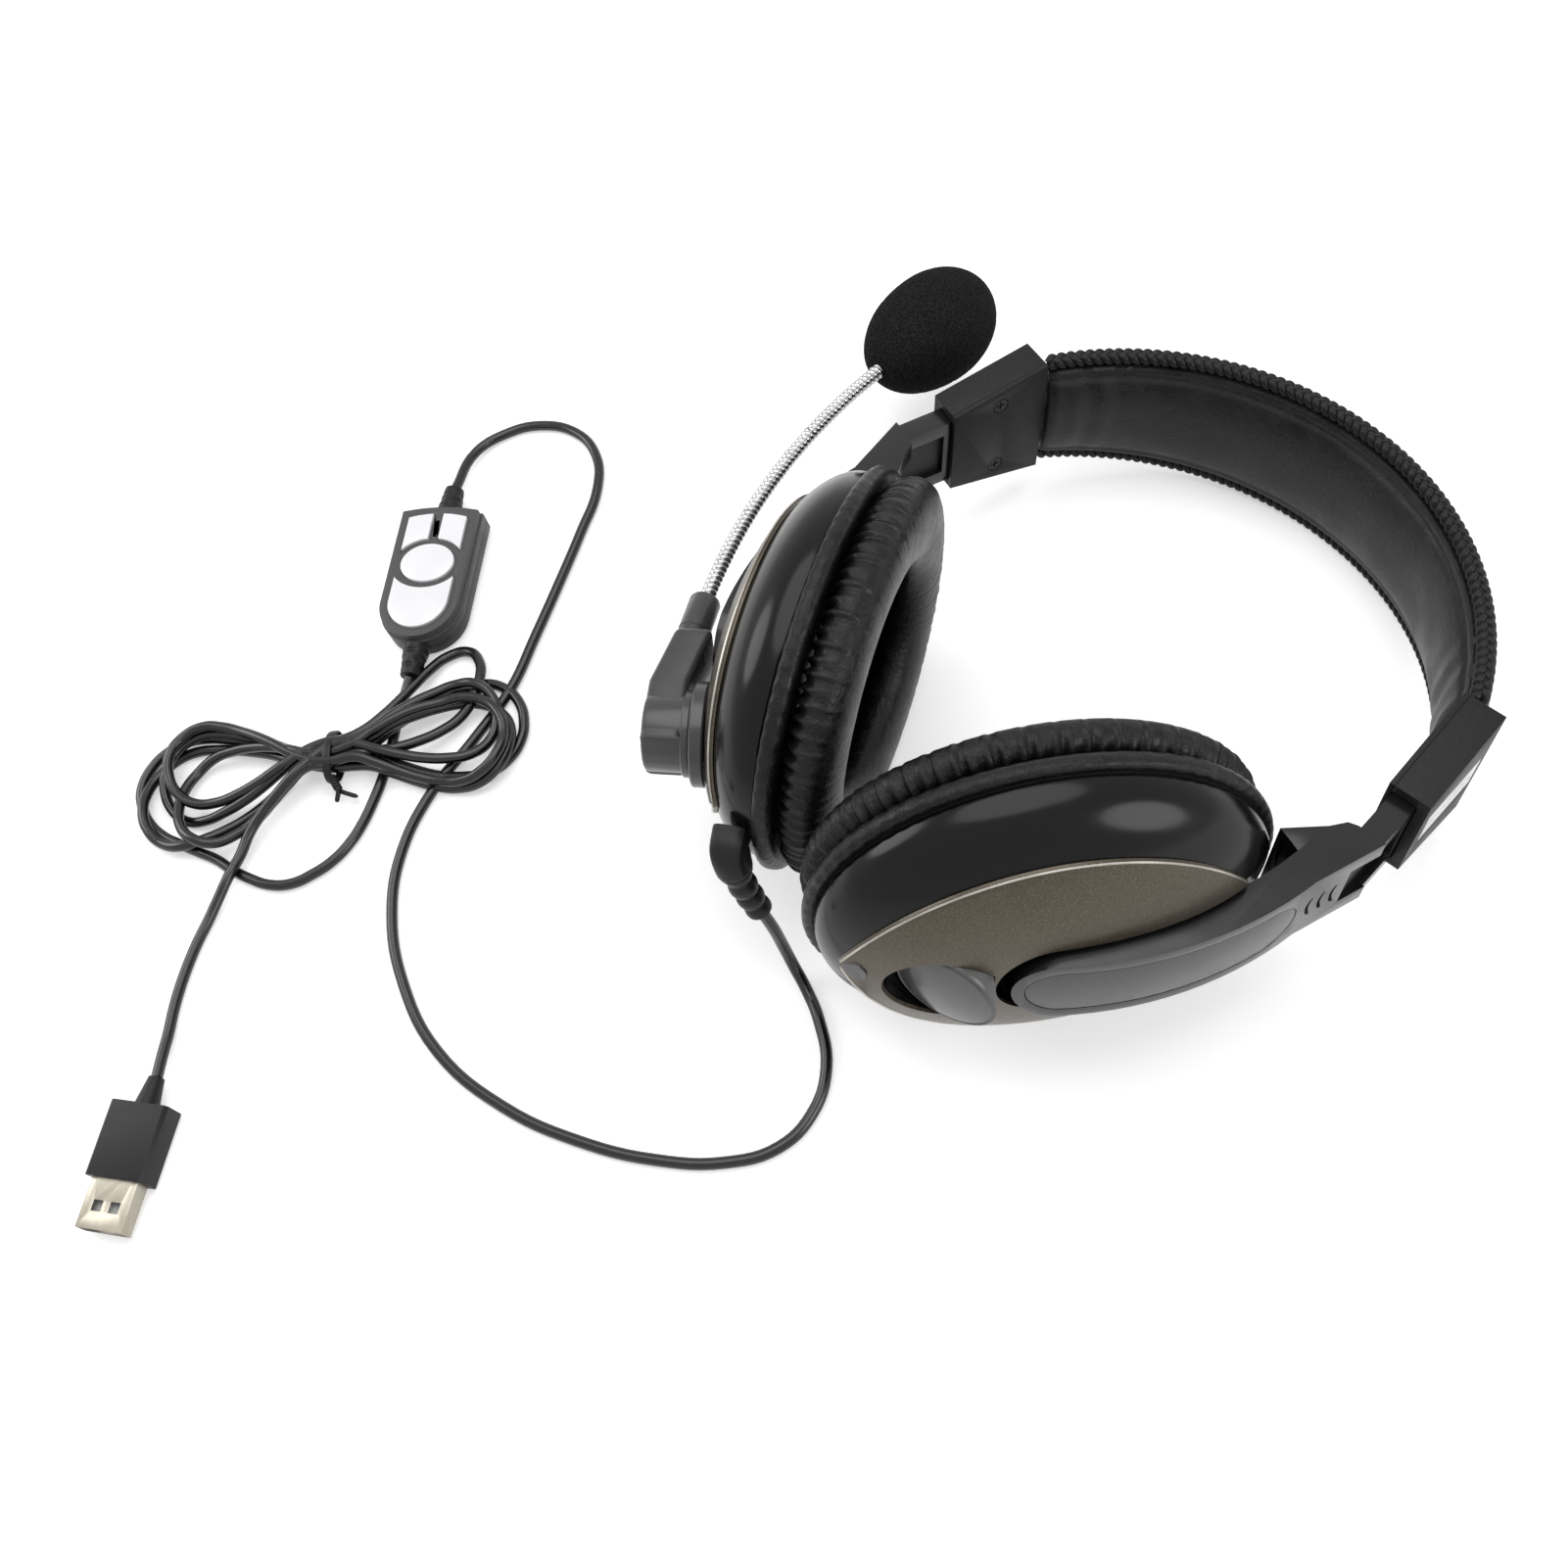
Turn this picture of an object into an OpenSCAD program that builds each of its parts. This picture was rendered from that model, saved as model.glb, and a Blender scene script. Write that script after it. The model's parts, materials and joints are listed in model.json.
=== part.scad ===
// Office headset: padded headband, two ear cups, gooseneck microphone, corded remote and plug.
// Headset axes: X points to the plain cup, Y to the crown, Z up; the middle of the cup line is 0.
// placed() leans the headset on the table: both cups' lower rims and the crown touch it.
// In a cup, x runs along the arm to the crown, y is up and z points out of the head.

/* [Headband] */
// Radius of the steel strip in the band
band_r = 74.5; // [70:0.5:78]
// Distance of the band's centre of curvature above the cup line
band_y = 60; // [56:1:64]
// Half of the padded arc, in degrees
band_half = 61; // [54:1:61]
// Width of the pad at the crown
band_w = 31; // [28:1:36]
// How much narrower each edge of the pad gets at the brackets
band_taper = 2.6; // [1:0.1:4]
// Thickness of the inner pad at its middle
pad_t = 4.6; // [3:0.2:7]
// Thickness of the outer cover at its middle
cover_t = 3; // [2:0.2:5]
// Thickness of pad and cover at the stitched edge
pad_edge_t = 1.4; // [1:0.1:2]
// Radius of the braided edging
braid_r = 1.7; // [1.2:0.1:2]
// Width of the steel strip
strip_w = 22; // [16:1:24]
// Thickness of the steel strip
strip_t = 1; // [0.6:0.1:1.2]

/* [Brackets] */
// How far outside the end of the band the bracket mouth lies
bracket_out = 6.34; // [4:0.1:9]
// How far below the end of the band the bracket mouth lies
bracket_drop = 27.12; // [24:0.1:30]
// Inward lean of bracket and slider, in degrees
bracket_tilt = 9; // [4:0.5:10]
// Length of the bracket
bracket_l = 26; // [24:0.5:30]
// Thickness of the bracket
bracket_t = 9.4; // [9:0.1:11]
// Height of the bracket at the arm
bracket_h = 23.6; // [22.5:0.2:26]
// Height of the bracket at the band
bracket_h2 = 33; // [30:0.5:38]
// Thickness of the inner cover plate
plate_t = 1.2; // [1:0.1:1.3]
// Distance of the two cover screws from the bracket mouth
screw_y = 13; // [12:0.5:15]
// Half distance between the two cover screws
screw_z = 9.75; // [9.5:0.05:10]

/* [Arms] */
// Height of the arm
arm_w = 21; // [18:0.5:22]
// Radius of the arm's outer curve
arm_r = 87; // [80:1:95]
// Thickness of the arm at the cup
arm_t = 7.2; // [6.8:0.1:8.5]
// Thickness of the slider strap
strap_t = 5.5; // [4.5:0.1:5.6]
// Height of the slider strap
strap_w = 19; // [16:0.5:19]
// Length of the thin strap that shows below the bracket
strap_l = 12; // [10:0.5:14]
// Length of the slider tongue inside the bracket
tongue_l = 17; // [14:0.5:17]
// Length of the window in the strap
window_l = 17; // [10:1:18]
// Height of the window in the strap
window_w = 12; // [8:0.5:13]

/* [Cup joint] */
// Distance of the plain cup's ball from the middle plane
ball_x_r = 53.5; // [53:0.5:56]
// Distance of the microphone cup's ball from the middle plane
ball_x_l = 50.5; // [50:0.5:56]
// Distance of the balls above the cup line
ball_y = -6.5; // [-10:0.5:-4]
// Radius of the ball on the cup
ball_r = 2.8; // [2.2:0.1:3]
// Wall of the plastic ball liner
liner_t = 1.04; // [0.9:0.02:1.1]
// Height of the ball above the pad ring's back
ball_n = 22; // [21:0.5:24]
// Running clearance in the ball joint
ball_gap = 0.06; // [0.03:0.01:0.1]
// Toe-in of the plain cup, in degrees
toe_r = 28.5; // [20:1:29]
// Toe-in of the microphone cup, in degrees
toe_l = 33; // [22:1:33]

/* [Ear cups] */
// Half length of the shell, along the arm
shell_a = 46.5; // [43:0.5:47]
// Half height of the shell
shell_b = 40; // [36:0.5:41]
// Depth of the shell's dome
shell_h = 19; // [17:0.5:20]
// Wall of the shell
shell_wall = 1.8; // [1.4:0.1:2.2]
// Thickness of the driver board behind the pad ring
baffle_t = 2; // [1.5:0.1:3]
// Thickness of the pad ring
ring_t = 3; // [2:0.1:4]
// Half length of the ear opening
ear_a = 27; // [24:0.5:30]
// Half height of the ear opening
ear_b = 22; // [19:0.5:25]
// Overhang of the cushion past the shell
cushion_over = 1.2; // [1:0.2:3]
// Thickness of the cushion
cushion_t = 12.4; // [11:0.5:14]
// Radius of the driver
driver_r = 19; // [15:0.5:20]
// Thickness of the gunmetal plate
eye_t = 0.9; // [0.6:0.1:1.2]
// Distance of the microphone hub from the ball, along the arm
cap_u = 26; // [25:0.5:28]
// Radius of the microphone hub
cap_r = 11.6; // [10:0.2:12]
// Distance of the plain cup's round cap from the ball, along the arm
disc_u = 23; // [22.5:0.1:24]
// Radius of the plain cup's round cap
disc_r = 11.2; // [10.6:0.1:11.4]
// Lean of the plain cup's round cap, in degrees
disc_lean = 39; // [36:0.5:41]

/* [Microphone] */
// Height of the hub's fixed collar
collar_h = 3.5; // [3:0.5:6]
// Thickness of the turning hub
hub_t = 10.5; // [9:0.5:13]
// Length of the hub's lever from its axis
lever_l = 24; // [22:0.5:28]
// Height of the lever
lever_w = 15; // [12:0.5:18]
// Radius of the socket that holds the gooseneck
socket_r = 3.7; // [3.2:0.1:4.2]
// Length of the socket
socket_l = 14; // [10:0.5:18]
// Radius of the gooseneck tube
goose_r = 1.95; // [1.6:0.05:2.3]
// Radius of the gooseneck's bend
goose_bend = 181; // [150:1:220]
// Angle of each third of the gooseneck, in degrees
goose_step = 9.6; // [8:0.2:11]
// Length of the foam windscreen
foam_l = 40; // [34:0.5:46]
// Radius of the foam windscreen
foam_r = 15.5; // [12:0.5:18]

/* [Cord] */
// Diameter of the cord
cord_d = 2.8; // [2.4:0.1:3.2]
// Height of the tied hank
hank_h = 8.4; // [6:0.2:10]

/* [Remote] */
// Width of the remote
remote_w = 23; // [21:0.5:26]
// Length of the remote's straight sides
remote_l = 36; // [34:0.5:40]
// Height of the remote
remote_h = 9.8; // [9.4:0.2:12]
// Wall of the remote
remote_wall = 1.4; // [1.2:0.1:1.8]
// Gap around each button
button_gap = 0.25; // [0.15:0.05:0.4]
// How far the buttons stand out
button_up = 0.7; // [0.4:0.1:1]
// Travel of the buttons
button_travel = 0.6; // [0.3:0.1:0.6]

/* [Plug] */
// Width of the plug shell, a standard size
usb_w = 12; // [11.9:0.1:12.1]
// Thickness of the plug shell, a standard size
usb_t = 4.5; // [4.4:0.1:4.6]
// Length of the plug shell that shows
usb_l = 11.7; // [11:0.1:12.5]
// Width of the plug's grip
grip_w = 15.2; // [14:0.2:17]
// Thickness of the plug's grip
grip_t = 7.6; // [7:0.2:9]
// Length of the plug's grip
grip_l = 18; // [16:0.5:22]

/* [Hidden] */

$fn = 48;
seat = 0.3;              // clearance between pieces that lie on each other
fit = 0.15;              // clearance around a piece in its pocket
cup_seg = 32;            // facets round a cup
edge_pts = 48;           // points round an oval outline

// ---- shared functions ----
function unit(v) = v / norm(v);
function oval(a, b, n = edge_pts) = [for (i = [0:n - 1]) [a * cos(360 * i / n), b * sin(360 * i / n)]];
function soft(c, p) = sign(c) * pow(abs(c), p);
function tangent(p, i) = unit(p[min(i + 1, len(p) - 1)] - p[max(i - 1, 0)]);
function across(v, t) = unit(v - (v * t) * t);
function side_dirs(p, start) =
    [for (i = 0, n = across(start, tangent(p, 0)); i < len(p);
        i = i + 1, n = i < len(p) ? across(n, tangent(p, i)) : n) n];
function bend(a, b, c, d, t) = 0.5 * (2 * b + (c - a) * t + (2 * a - 5 * b + 4 * c - d) * t * t
    + (3 * b - a - 3 * c + d) * t * t * t);
function smooth(p, k) = concat([for (i = [0:len(p) - 2]) for (j = [0:k - 1])
    bend(p[max(i - 1, 0)], p[i], p[i + 1], p[min(i + 2, len(p) - 1)], j / k)], [p[len(p) - 1]]);
function ring_path(p, k) = [for (i = [0:len(p) - 1]) for (j = [0:k - 1])
    bend(p[(i + len(p) - 1) % len(p)], p[i], p[(i + 1) % len(p)], p[(i + 2) % len(p)], j / k)];
function tube_rings(p, r, n, start) = let (d = side_dirs(p, start))
    [for (i = [0:len(p) - 1]) let (t = tangent(p, i), u = d[i], v = cross(t, u))
        [for (j = [0:n - 1]) p[i] + r[i] * (cos(360 * j / n) * u + sin(360 * j / n) * v)]];

function flip(r) = [for (j = [len(r) - 1:-1:0]) r[j]];

// A skin over rings of equally many points, closed by end faces or onto itself;
// the rings run clockwise, seen from the last one
module skin(rings, looped = false) {
    n = len(rings[0]);
    m = len(rings);
    last = looped ? m - 1 : m - 2;
    sides = [for (i = [0:last]) for (j = [0:n - 1])
        [i * n + j, i * n + (j + 1) % n, ((i + 1) % m) * n + (j + 1) % n, ((i + 1) % m) * n + j]];
    ends = looped ? [] : [[for (j = [n - 1:-1:0]) j], [for (j = [0:n - 1]) (m - 1) * n + j]];
    polyhedron(points = [for (r = rings) each r], faces = concat(sides, ends), convexity = 6);
}
module tube(p, r, n = 8, start = [0, 0, 1]) {
    skin([for (ring = tube_rings(p, r, n, start)) flip(ring)]);
}

// ---- places ----
shell_z = ring_t + baffle_t;                 // where the shell's edge sits on the board
cushion_a = shell_a + cushion_over;
cushion_b = shell_b + cushion_over;
crown_r = band_r + strip_t / 2 + seat + pad_edge_t;
crown_z = band_w / 2 + fit + 2 * braid_r;    // lowest point of the crown below the cup line
cup_low_y = ball_y + (ball_n + seat + cushion_t / 2) * sin(toe_l);
function lean_step(t) = atan((sqrt(pow(cushion_b, 2) + pow(cushion_a * cos(toe_l) * tan(t), 2))
    - crown_z) / (band_y + band_r - cup_low_y));
lean = lean_step(lean_step(lean_step(10)));
cup_low = sqrt(pow(cushion_b * cos(lean), 2) + pow(cushion_a * cos(toe_l) * sin(lean), 2))
    + cup_low_y * sin(lean);
foam_end = foam_l / 2 + 1;
hub_tilt = asin(cap_u / shell_a) / 2.3;      // slope of the dome under the hub
function toe(s) = s > 0 ? toe_r : toe_l;
function u_dir(s) = [s * sin(toe(s)), cos(toe(s)), 0];
function n_dir(s) = [s * cos(toe(s)), -sin(toe(s)), 0];
function ball_x(s) = s > 0 ? ball_x_r : ball_x_l;
function ball_at(s) = [s * ball_x(s), ball_y, 0];
function cup_at(s, u, v, n) = ball_at(s) + u * u_dir(s) + [0, 0, v] + (n - ball_n) * n_dir(s);
function dome_z(u) = shell_z + shell_h * sqrt(1 - pow(u / shell_a, 2));
hub_base = cup_at(-1, -cap_u, 0, dome_z(cap_u));
hub_axis = cos(hub_tilt) * n_dir(-1) - sin(hub_tilt) * u_dir(-1);
hub_out = sin(hub_tilt) * n_dir(-1) + cos(hub_tilt) * u_dir(-1);
lever_mid = hub_base + (collar_h + hub_t / 2 - 1) * hub_axis + lever_l * hub_out;
goose_head = 38;                             // heading of the gooseneck at the socket, from Y
goose_0 = lever_mid + (socket_l - 2) * [-sin(goose_head), cos(goose_head), 0];
goose_centre = goose_0 + goose_bend * [cos(goose_head), sin(goose_head), 0];
function goose_at(a) = goose_centre - goose_bend * [cos(goose_head - a), sin(goose_head - a), 0];
foam_head = goose_head - 3 * goose_step;
foam_dir = [-sin(foam_head), cos(foam_head), 0];
foam_mid = goose_at(3 * goose_step) + (foam_end - 3) * foam_dir;
x_low = foam_mid[0] - norm([foam_l / 2 * sin(foam_head), foam_r * cos(foam_head)]);
bracket_x = band_r * sin(band_half) + bracket_out;
bracket_y = band_y + band_r * cos(band_half) - bracket_drop;
x_high = bracket_x + bracket_t / 2 * cos(bracket_tilt);
hub_far = hub_base + (collar_h + hub_t) * hub_axis - 12 * hub_out;
y_low = hub_far[1] * cos(lean) - 1;
y_high = (band_y + crown_r + cover_t / 2) * cos(lean) + 9 * sin(lean);
org = [-(x_low + x_high) / 2, -(y_low + y_high) / 2,
    cup_low + 0.05];

module placed() {
    translate(org) rotate([-lean, 0, 0]) children();
}
module sided(s) {
    if (s > 0) children();
    else mirror([1, 0, 0]) children();
}
module in_cup(s) {
    placed() sided(s) translate([ball_x(s), ball_y, 0]) rotate([0, 0, -toe(s)]) rotate([90, 0, 90])
        translate([0, 0, -ball_n]) children();
}
module in_bracket(s) {
    placed() sided(s) translate([bracket_x, bracket_y, 0]) rotate([0, 0, bracket_tilt]) children();
}
module on_dome(s) {
    in_cup(s) translate([-cap_u, 0, dome_z(cap_u)]) rotate([0, -hub_tilt, 0]) children();
}

// ---- headband ----
function band_half_w(q) = band_w / 2 - band_taper * q * q;
function band_ring(a, half, face, side, mid_t) = let (w = band_half_w(a / half), k = 8)
    [for (p = concat([[face, -w], [face, w]],
        [for (j = [0:k]) let (z = w - 2 * w * j / k)
            [face + side * (pad_edge_t + (mid_t - pad_edge_t) * (1 - pow(z / w, 2))), z]]))
        [p[0] * sin(a), band_y + p[0] * cos(a), p[1]]];
module band_skin(half, face, side, mid_t) {
    steps = 30;
    rings = [for (i = [0:steps]) band_ring(half * (2 * i / steps - 1), half, face, side, mid_t)];
    skin(side < 0 ? [for (r = rings) flip(r)] : rings);
}
module band_spring() color("silver") placed() {
    mid = band_r;
    intersection() {
        translate([0, band_y, 0]) rotate([0, 0, 90 - band_half - 2])
            rotate_extrude(angle = 2 * band_half + 4)
                translate([mid - strip_t / 2, -strip_w / 2]) square([strip_t, strip_w]);
        translate([-band_r, band_y, -strip_w]) cube([2 * band_r, 2 * band_r, 2 * strip_w]);
    }
    for (s = [-1, 1]) sided(s) translate([bracket_x, bracket_y, 0]) rotate([0, 0, bracket_tilt])
        strip_end();
}
module strip_end() {
    difference() {
        translate([strip_x, strip_from, -strip_end_w / 2])
            cube([strip_t, bracket_l - strip_from - 0.4, strip_end_w]);
        for (z = [-screw_z, screw_z]) translate([strip_x - 1, screw_y, z]) rotate([0, 90, 0])
            cylinder(r = screw_shank + 0.3, h = strip_t + 2);
    }
}
module band_pad() color([0.09, 0.09, 0.09]) placed()
    band_skin(band_half, band_r - strip_t / 2 - seat, -1, pad_t);
module band_cover() color([0.07, 0.07, 0.07]) placed()
    band_skin(band_half, band_r + strip_t / 2 + seat, 1, cover_t);
module edge_braid() color([0.05, 0.05, 0.05]) placed() for (e = [-1, 1]) {
    steps = 30;
    p = [for (i = [0:steps]) let (q = 2 * i / steps - 1, a = band_half * q)
        [band_r * sin(a), band_y + band_r * cos(a), e * (band_half_w(q) + braid_r + fit)]];
    tube(p, [for (i = p) braid_r], 8);
}

// ---- brackets ----
half_t = bracket_t / 2;
slot_in = -half_t + plate_t;                  // inner side of the slider's slot
slot_out = slot_in + strap_t + 2 * fit;       // outer side of the slider's slot
strip_x = slot_in + 0.25;
strip_from = 9.2;                             // where the strip starts above the mouth
strip_end_w = 2 * (screw_z + 1.75);
tongue_w = 14;
tongue_x = strip_x + strip_t + 0.5;
wide_in = 8.8;                                // depth of the slot for the full strap
screw_shank = 0.95;
screw_head = 1.9;
screw_l = 6.4;
head_t = 0.7;
boss_r = 2.2;
module flare(x0, x1, inset = 0, y0 = 0, y1 = bracket_l) {
    function half_h(y) = (bracket_h + (bracket_h2 - bracket_h) * y / bracket_l) / 2 - inset;
    translate([x0, 0, 0]) rotate([90, 0, 90]) linear_extrude(x1 - x0)
        polygon([[y0, -half_h(y0)], [y1, -half_h(y1)], [y1, half_h(y1)], [y0, half_h(y0)]]);
}
module screw_holes(r) {
    for (z = [-screw_z, screw_z]) translate([-half_t - 1, screw_y, z]) rotate([0, 90, 0])
        cylinder(r = r, h = bracket_t);
}
module bracket_body(s) color([0.17, 0.17, 0.18]) in_bracket(s) {
    wall = 1.4;
    difference() {
        flare(slot_in, half_t);
        translate([slot_in - 1, -1, -strap_w / 2 - fit])
            cube([slot_out - slot_in + 1, wide_in + 1, strap_w + 2 * fit]);
        difference() {
            flare(slot_in - 1, slot_out, wall, wide_in - 0.1, bracket_l + 1);
            for (z = [-screw_z, screw_z]) translate([strip_x + strip_t + 0.1, screw_y, z])
                rotate([0, 90, 0]) cylinder(r = boss_r, h = bracket_t);
        }
        translate([half_t - inlay_t, inlay_y - inlay_l / 2, -inlay_w / 2])
            cube([inlay_t + 1, inlay_l, inlay_w]);
        for (z = [-screw_z, screw_z]) translate([strip_x, screw_y, z]) rotate([0, 90, 0])
            cylinder(r = screw_shank + 0.05, h = screw_l + fit - half_t - strip_x);
    }
}
module bracket_plates() color([0.17, 0.17, 0.18]) for (s = [-1, 1]) in_bracket(s) difference() {
    flare(-half_t, slot_in - 0.05);
    screw_holes(screw_shank + 0.15);
    for (z = [-screw_z, screw_z]) translate([-half_t - 1, screw_y, z]) rotate([0, 90, 0])
        cylinder(r = screw_head + 0.2, h = 1 + head_t + 0.1);
}
module bracket_screws() color("dimgray") for (s = [-1, 1]) in_bracket(s)
    for (z = [-screw_z, screw_z]) translate([-half_t + 0.1, screw_y, z]) rotate([0, 90, 0])
        difference() {
            union() {
                cylinder(r = screw_head, h = head_t);
                cylinder(r = screw_shank, h = screw_l);
            }
            for (a = [0, 90]) rotate([0, 0, a]) translate([-1.1, -0.2, -1]) cube([2.2, 0.4, 1.35]);
        }
inlay_t = 0.8;
inlay_w = 9;
inlay_l = 20;
inlay_y = 13.5;
module bracket_inlays() color("silver") for (s = [-1, 1]) in_bracket(s) difference() {
    translate([half_t - inlay_t + 0.05, inlay_y - inlay_l / 2 + fit, -inlay_w / 2 + fit])
        cube([inlay_t, inlay_l - 2 * fit, inlay_w - 2 * fit]);
    for (i = [-3:3]) translate([half_t - 0.2, inlay_y + i * 2.4, 0]) rotate([0, 90, 0])
        cylinder(r = 0.7, h = 1);
}

// ---- arms ----
arm_lean = 35;                                // slope of the arm at the ball, in degrees
arm_cover_gap = 5.16;                         // ball centre to the arm's outer face
function arm_mid(s) = [ball_x(s), ball_y]
    - (arm_r - arm_cover_gap) * [cos(arm_lean), -sin(arm_lean)];
cover_plate_t = 1.1;
cover_w = 15;
shoulder = 0.4;                               // step from the arm to the strap
cover_sweep = 28;                             // arc of the arm's outer panel
cover_a0 = -arm_lean - 13.3;
ball_out = ball_r + ball_gap + liner_t;       // outer radius of the liner
lobe_r = norm([shell_a, ball_n - shell_z]) + 1.5;
lobe_n = shell_z - 1;
arm_span = 2 * arm_r;                         // more than the arm's length
function arc_at(c, r, a) = c + r * [cos(a), sin(a)];
function flat(p) = [p[0], p[1]];
function in_slot(x, y) = [bracket_x, bracket_y] + x * [cos(bracket_tilt), sin(bracket_tilt)]
    + y * [-sin(bracket_tilt), cos(bracket_tilt)];
function mirrored(p) = [abs(p[0]), p[1]];
module arm_plan(s) {
    b = [ball_x(s), ball_y];
    arm_c = arm_mid(s);
    r_in = arm_r - arm_t;
    ball_c = arm_r - arm_cover_gap;
    a_end = -arm_lean - 8;
    a_lobe = -arm_lean + acos((r_in * r_in + ball_c * ball_c - lobe_r * lobe_r) / (2 * r_in * ball_c));
    tip = mirrored(flat(cup_at(s, sqrt(lobe_r * lobe_r - pow(ball_n - lobe_n, 2)), 0, lobe_n)));
    p1 = arc_at(arm_c, r_in, a_lobe) - b;
    a1 = atan2(p1[1], p1[0]);
    a2 = atan2(tip[1] - ball_y, tip[0] - b[0]);
    outer = [for (i = [0:17]) arc_at(arm_c, arm_r, a_end - a_end * i / 17)];
    inner = [for (i = [0:13]) arc_at(arm_c, r_in, a_lobe + (a_end - a_lobe) * i / 13)];
    lobe = [for (i = [0:5]) arc_at(b, lobe_r, a2 + (a1 - a2) * i / 6)];
    root = in_slot(slot_in + fit - shoulder, -strap_l);
    corner = [root, root + [-1.9, -1], root + [-3.6, -4.6], root + [-6.4, -8.6]];
    polygon(concat(outer, [in_slot(slot_out - fit + shoulder, -strap_l)], corner, lobe, inner));
}
module arm(s) color([0.1, 0.1, 0.1]) placed() sided(s) difference() {
    union() {
        intersection() {
            translate([0, 0, -arm_w]) linear_extrude(2 * arm_w) arm_plan(s);
            on_ball_axis(s) translate([0, 0, -arm_span]) linear_extrude(2 * arm_span)
                polygon(stadium(arm_w / 2, 0, arm_span));
        }
        translate([bracket_x, bracket_y, 0]) rotate([0, 0, bracket_tilt]) {
            translate([slot_in + fit, -strap_l - shoulder, -strap_w / 2])
                cube([strap_t, strap_l + shoulder + 0.2, strap_w]);
            translate([tongue_x, 0, -tongue_w / 2])
                cube([slot_in + fit + strap_t - tongue_x, tongue_l, tongue_w]);
        }
    }
    on_ball_axis(s) rotate_extrude() polygon(concat([[0, 20]],
        arc_points(0, ball_out + ball_gap, 180, 90), [[ball_out + ball_gap, 20]]));
    cover_shape(s, fit);
    translate([bracket_x, bracket_y, 0]) rotate([0, 0, bracket_tilt])
        translate([-20, -2 - window_l, -window_w / 2]) cube([40, window_l, window_w]);
}
module on_ball_axis(s) {
    translate([ball_x(s), ball_y, 0]) rotate([0, 90, -arm_lean]) children();
}
function stadium(r, y0, y1, n = 20) = concat(
    [for (i = [0:n]) [-r * cos(180 * i / n), y0 - r * sin(180 * i / n)]],
    [for (i = [0:n]) [r * cos(180 * i / n), y1 + r * sin(180 * i / n)]]);
function arc_points(z, r, a0, a1, n = 20) =
    [for (i = [0:n]) let (a = a0 + (a1 - a0) * i / n) [r * sin(a), z + r * cos(a)]];
// The oblong panel on the arm's outer face, grown by g for its pocket
module cover_shape(s, g) {
    arm_c = arm_mid(s);
    w = cover_w + 2 * g;
    r0 = arm_r - cover_plate_t - g;
    r1 = arm_r + 1.5 * g;
    mid = -arm_lean + cover_sweep / 2;
    reach = arm_r * sin(cover_sweep / 2);
    intersection() {
        translate([arm_c[0], arm_c[1], -w]) linear_extrude(2 * w)
            polygon(concat([for (i = [0:18]) r1 * [cos(cover_a0 + 3 * i), sin(cover_a0 + 3 * i)]],
                [for (i = [18:-1:0]) r0 * [cos(cover_a0 + 3 * i), sin(cover_a0 + 3 * i)]]));
        translate([arm_c[0], arm_c[1], 0]) rotate([0, 90, mid])
            linear_extrude(arm_r + 5) polygon(stadium(w / 2, -reach, reach));
    }
}
module arm_cover(s) color([0.13, 0.13, 0.13]) placed() sided(s) cover_shape(s, 0);
module ball_liner(s) color("ivory") placed() sided(s) on_ball_axis(s) {
    cut = -1.2;
    r_in = ball_r + ball_gap;
    rotate_extrude() polygon(concat(arc_points(0, ball_out, 0, acos(cut / ball_out)),
        arc_points(0, r_in, acos(cut / r_in), 0)));
}
module ball_stud(s) color("silver") in_cup(s) {
    translate([0, 0, ball_n]) sphere(r = ball_r);
    translate([0, 0, recess_z + fit]) cylinder(r = 1.5, h = ball_n - recess_z);
    translate([0, 0, recess_z + fit]) cylinder(r = 4.6, h = 1.2);
}

// ---- ear cups ----
recess_z = 15.8;                              // floor of the arm's recess at the ball
slot_w = arm_w + 2.6;
function dome_rings(a, b, z0, h, z_low) = concat(
    z_low < z0 ? [[for (p = oval(a, b, cup_seg)) [p[0], p[1], z_low]]] : [],
    [for (i = [0:7]) let (k = 86 * i / 7)
        [for (p = oval(a * cos(k), b * cos(k), cup_seg)) [p[0], p[1], z0 + h * sin(k)]]]);
module dome(grow, z_low) {
    rings = dome_rings(shell_a + grow, shell_b + grow, shell_z, shell_h + grow, z_low);
    skin([for (r = rings) flip(r)]);
}
recess_back = -16;                            // end of the recess beyond the ball
recess_floor = [[-10, 14.2], [-3, recess_z], [18, recess_z], [36, 10.6], [shell_a + 13.5, -1]];
module recess(drop, side) {
    top = 2 * (shell_z + shell_h);
    translate([0, slot_w / 2 + side, 0]) rotate([90, 0, 0]) linear_extrude(slot_w + 2 * side)
        polygon(concat([[recess_back - side, top], [recess_back - side, recess_z - 3.4 - drop]],
            [for (p = recess_floor) [p[0], p[1] - drop]], [[shell_a + 13.5, top]]));
}
disc_low = 13.2;                              // underside of the round cap
disc_edge = 14.4;                             // side of the round cap that faces the arm
module disc_space(grow, low) {
    intersection() {
        translate([-disc_u, -3, dome_z(disc_u)]) rotate([0, -disc_lean, 0])
            translate([0, 0, -30]) cylinder(r = disc_r + grow, h = 60);
        translate([-60 - disc_edge + grow, -30, low]) cube([60, 60, 40]);
    }
}
module shell(s) color([0.06, 0.06, 0.07]) in_cup(s) difference() {
    union() {
        if (s > 0) intersection() {
            dome(-0.4, shell_z + 0.5);
            disc_space(shell_wall, disc_low - shell_wall);
        }
        difference() {
            dome(0, shell_z);
            dome(-shell_wall, shell_z - 1);
        }
        intersection() {
            dome(-0.4, shell_z + 0.5);
            recess(shell_wall, shell_wall);
        }
        for (p = screw_spots) translate([p[0], p[1], shell_z]) cylinder(r = 2.4, h = 7);
    }
    recess(0, 0);
    if (s > 0) disc_space(2 * fit, disc_low - fit);
    for (p = screw_spots) translate([p[0], p[1], shell_z - 1]) cylinder(r = 0.95, h = 6.5);
}
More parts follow.
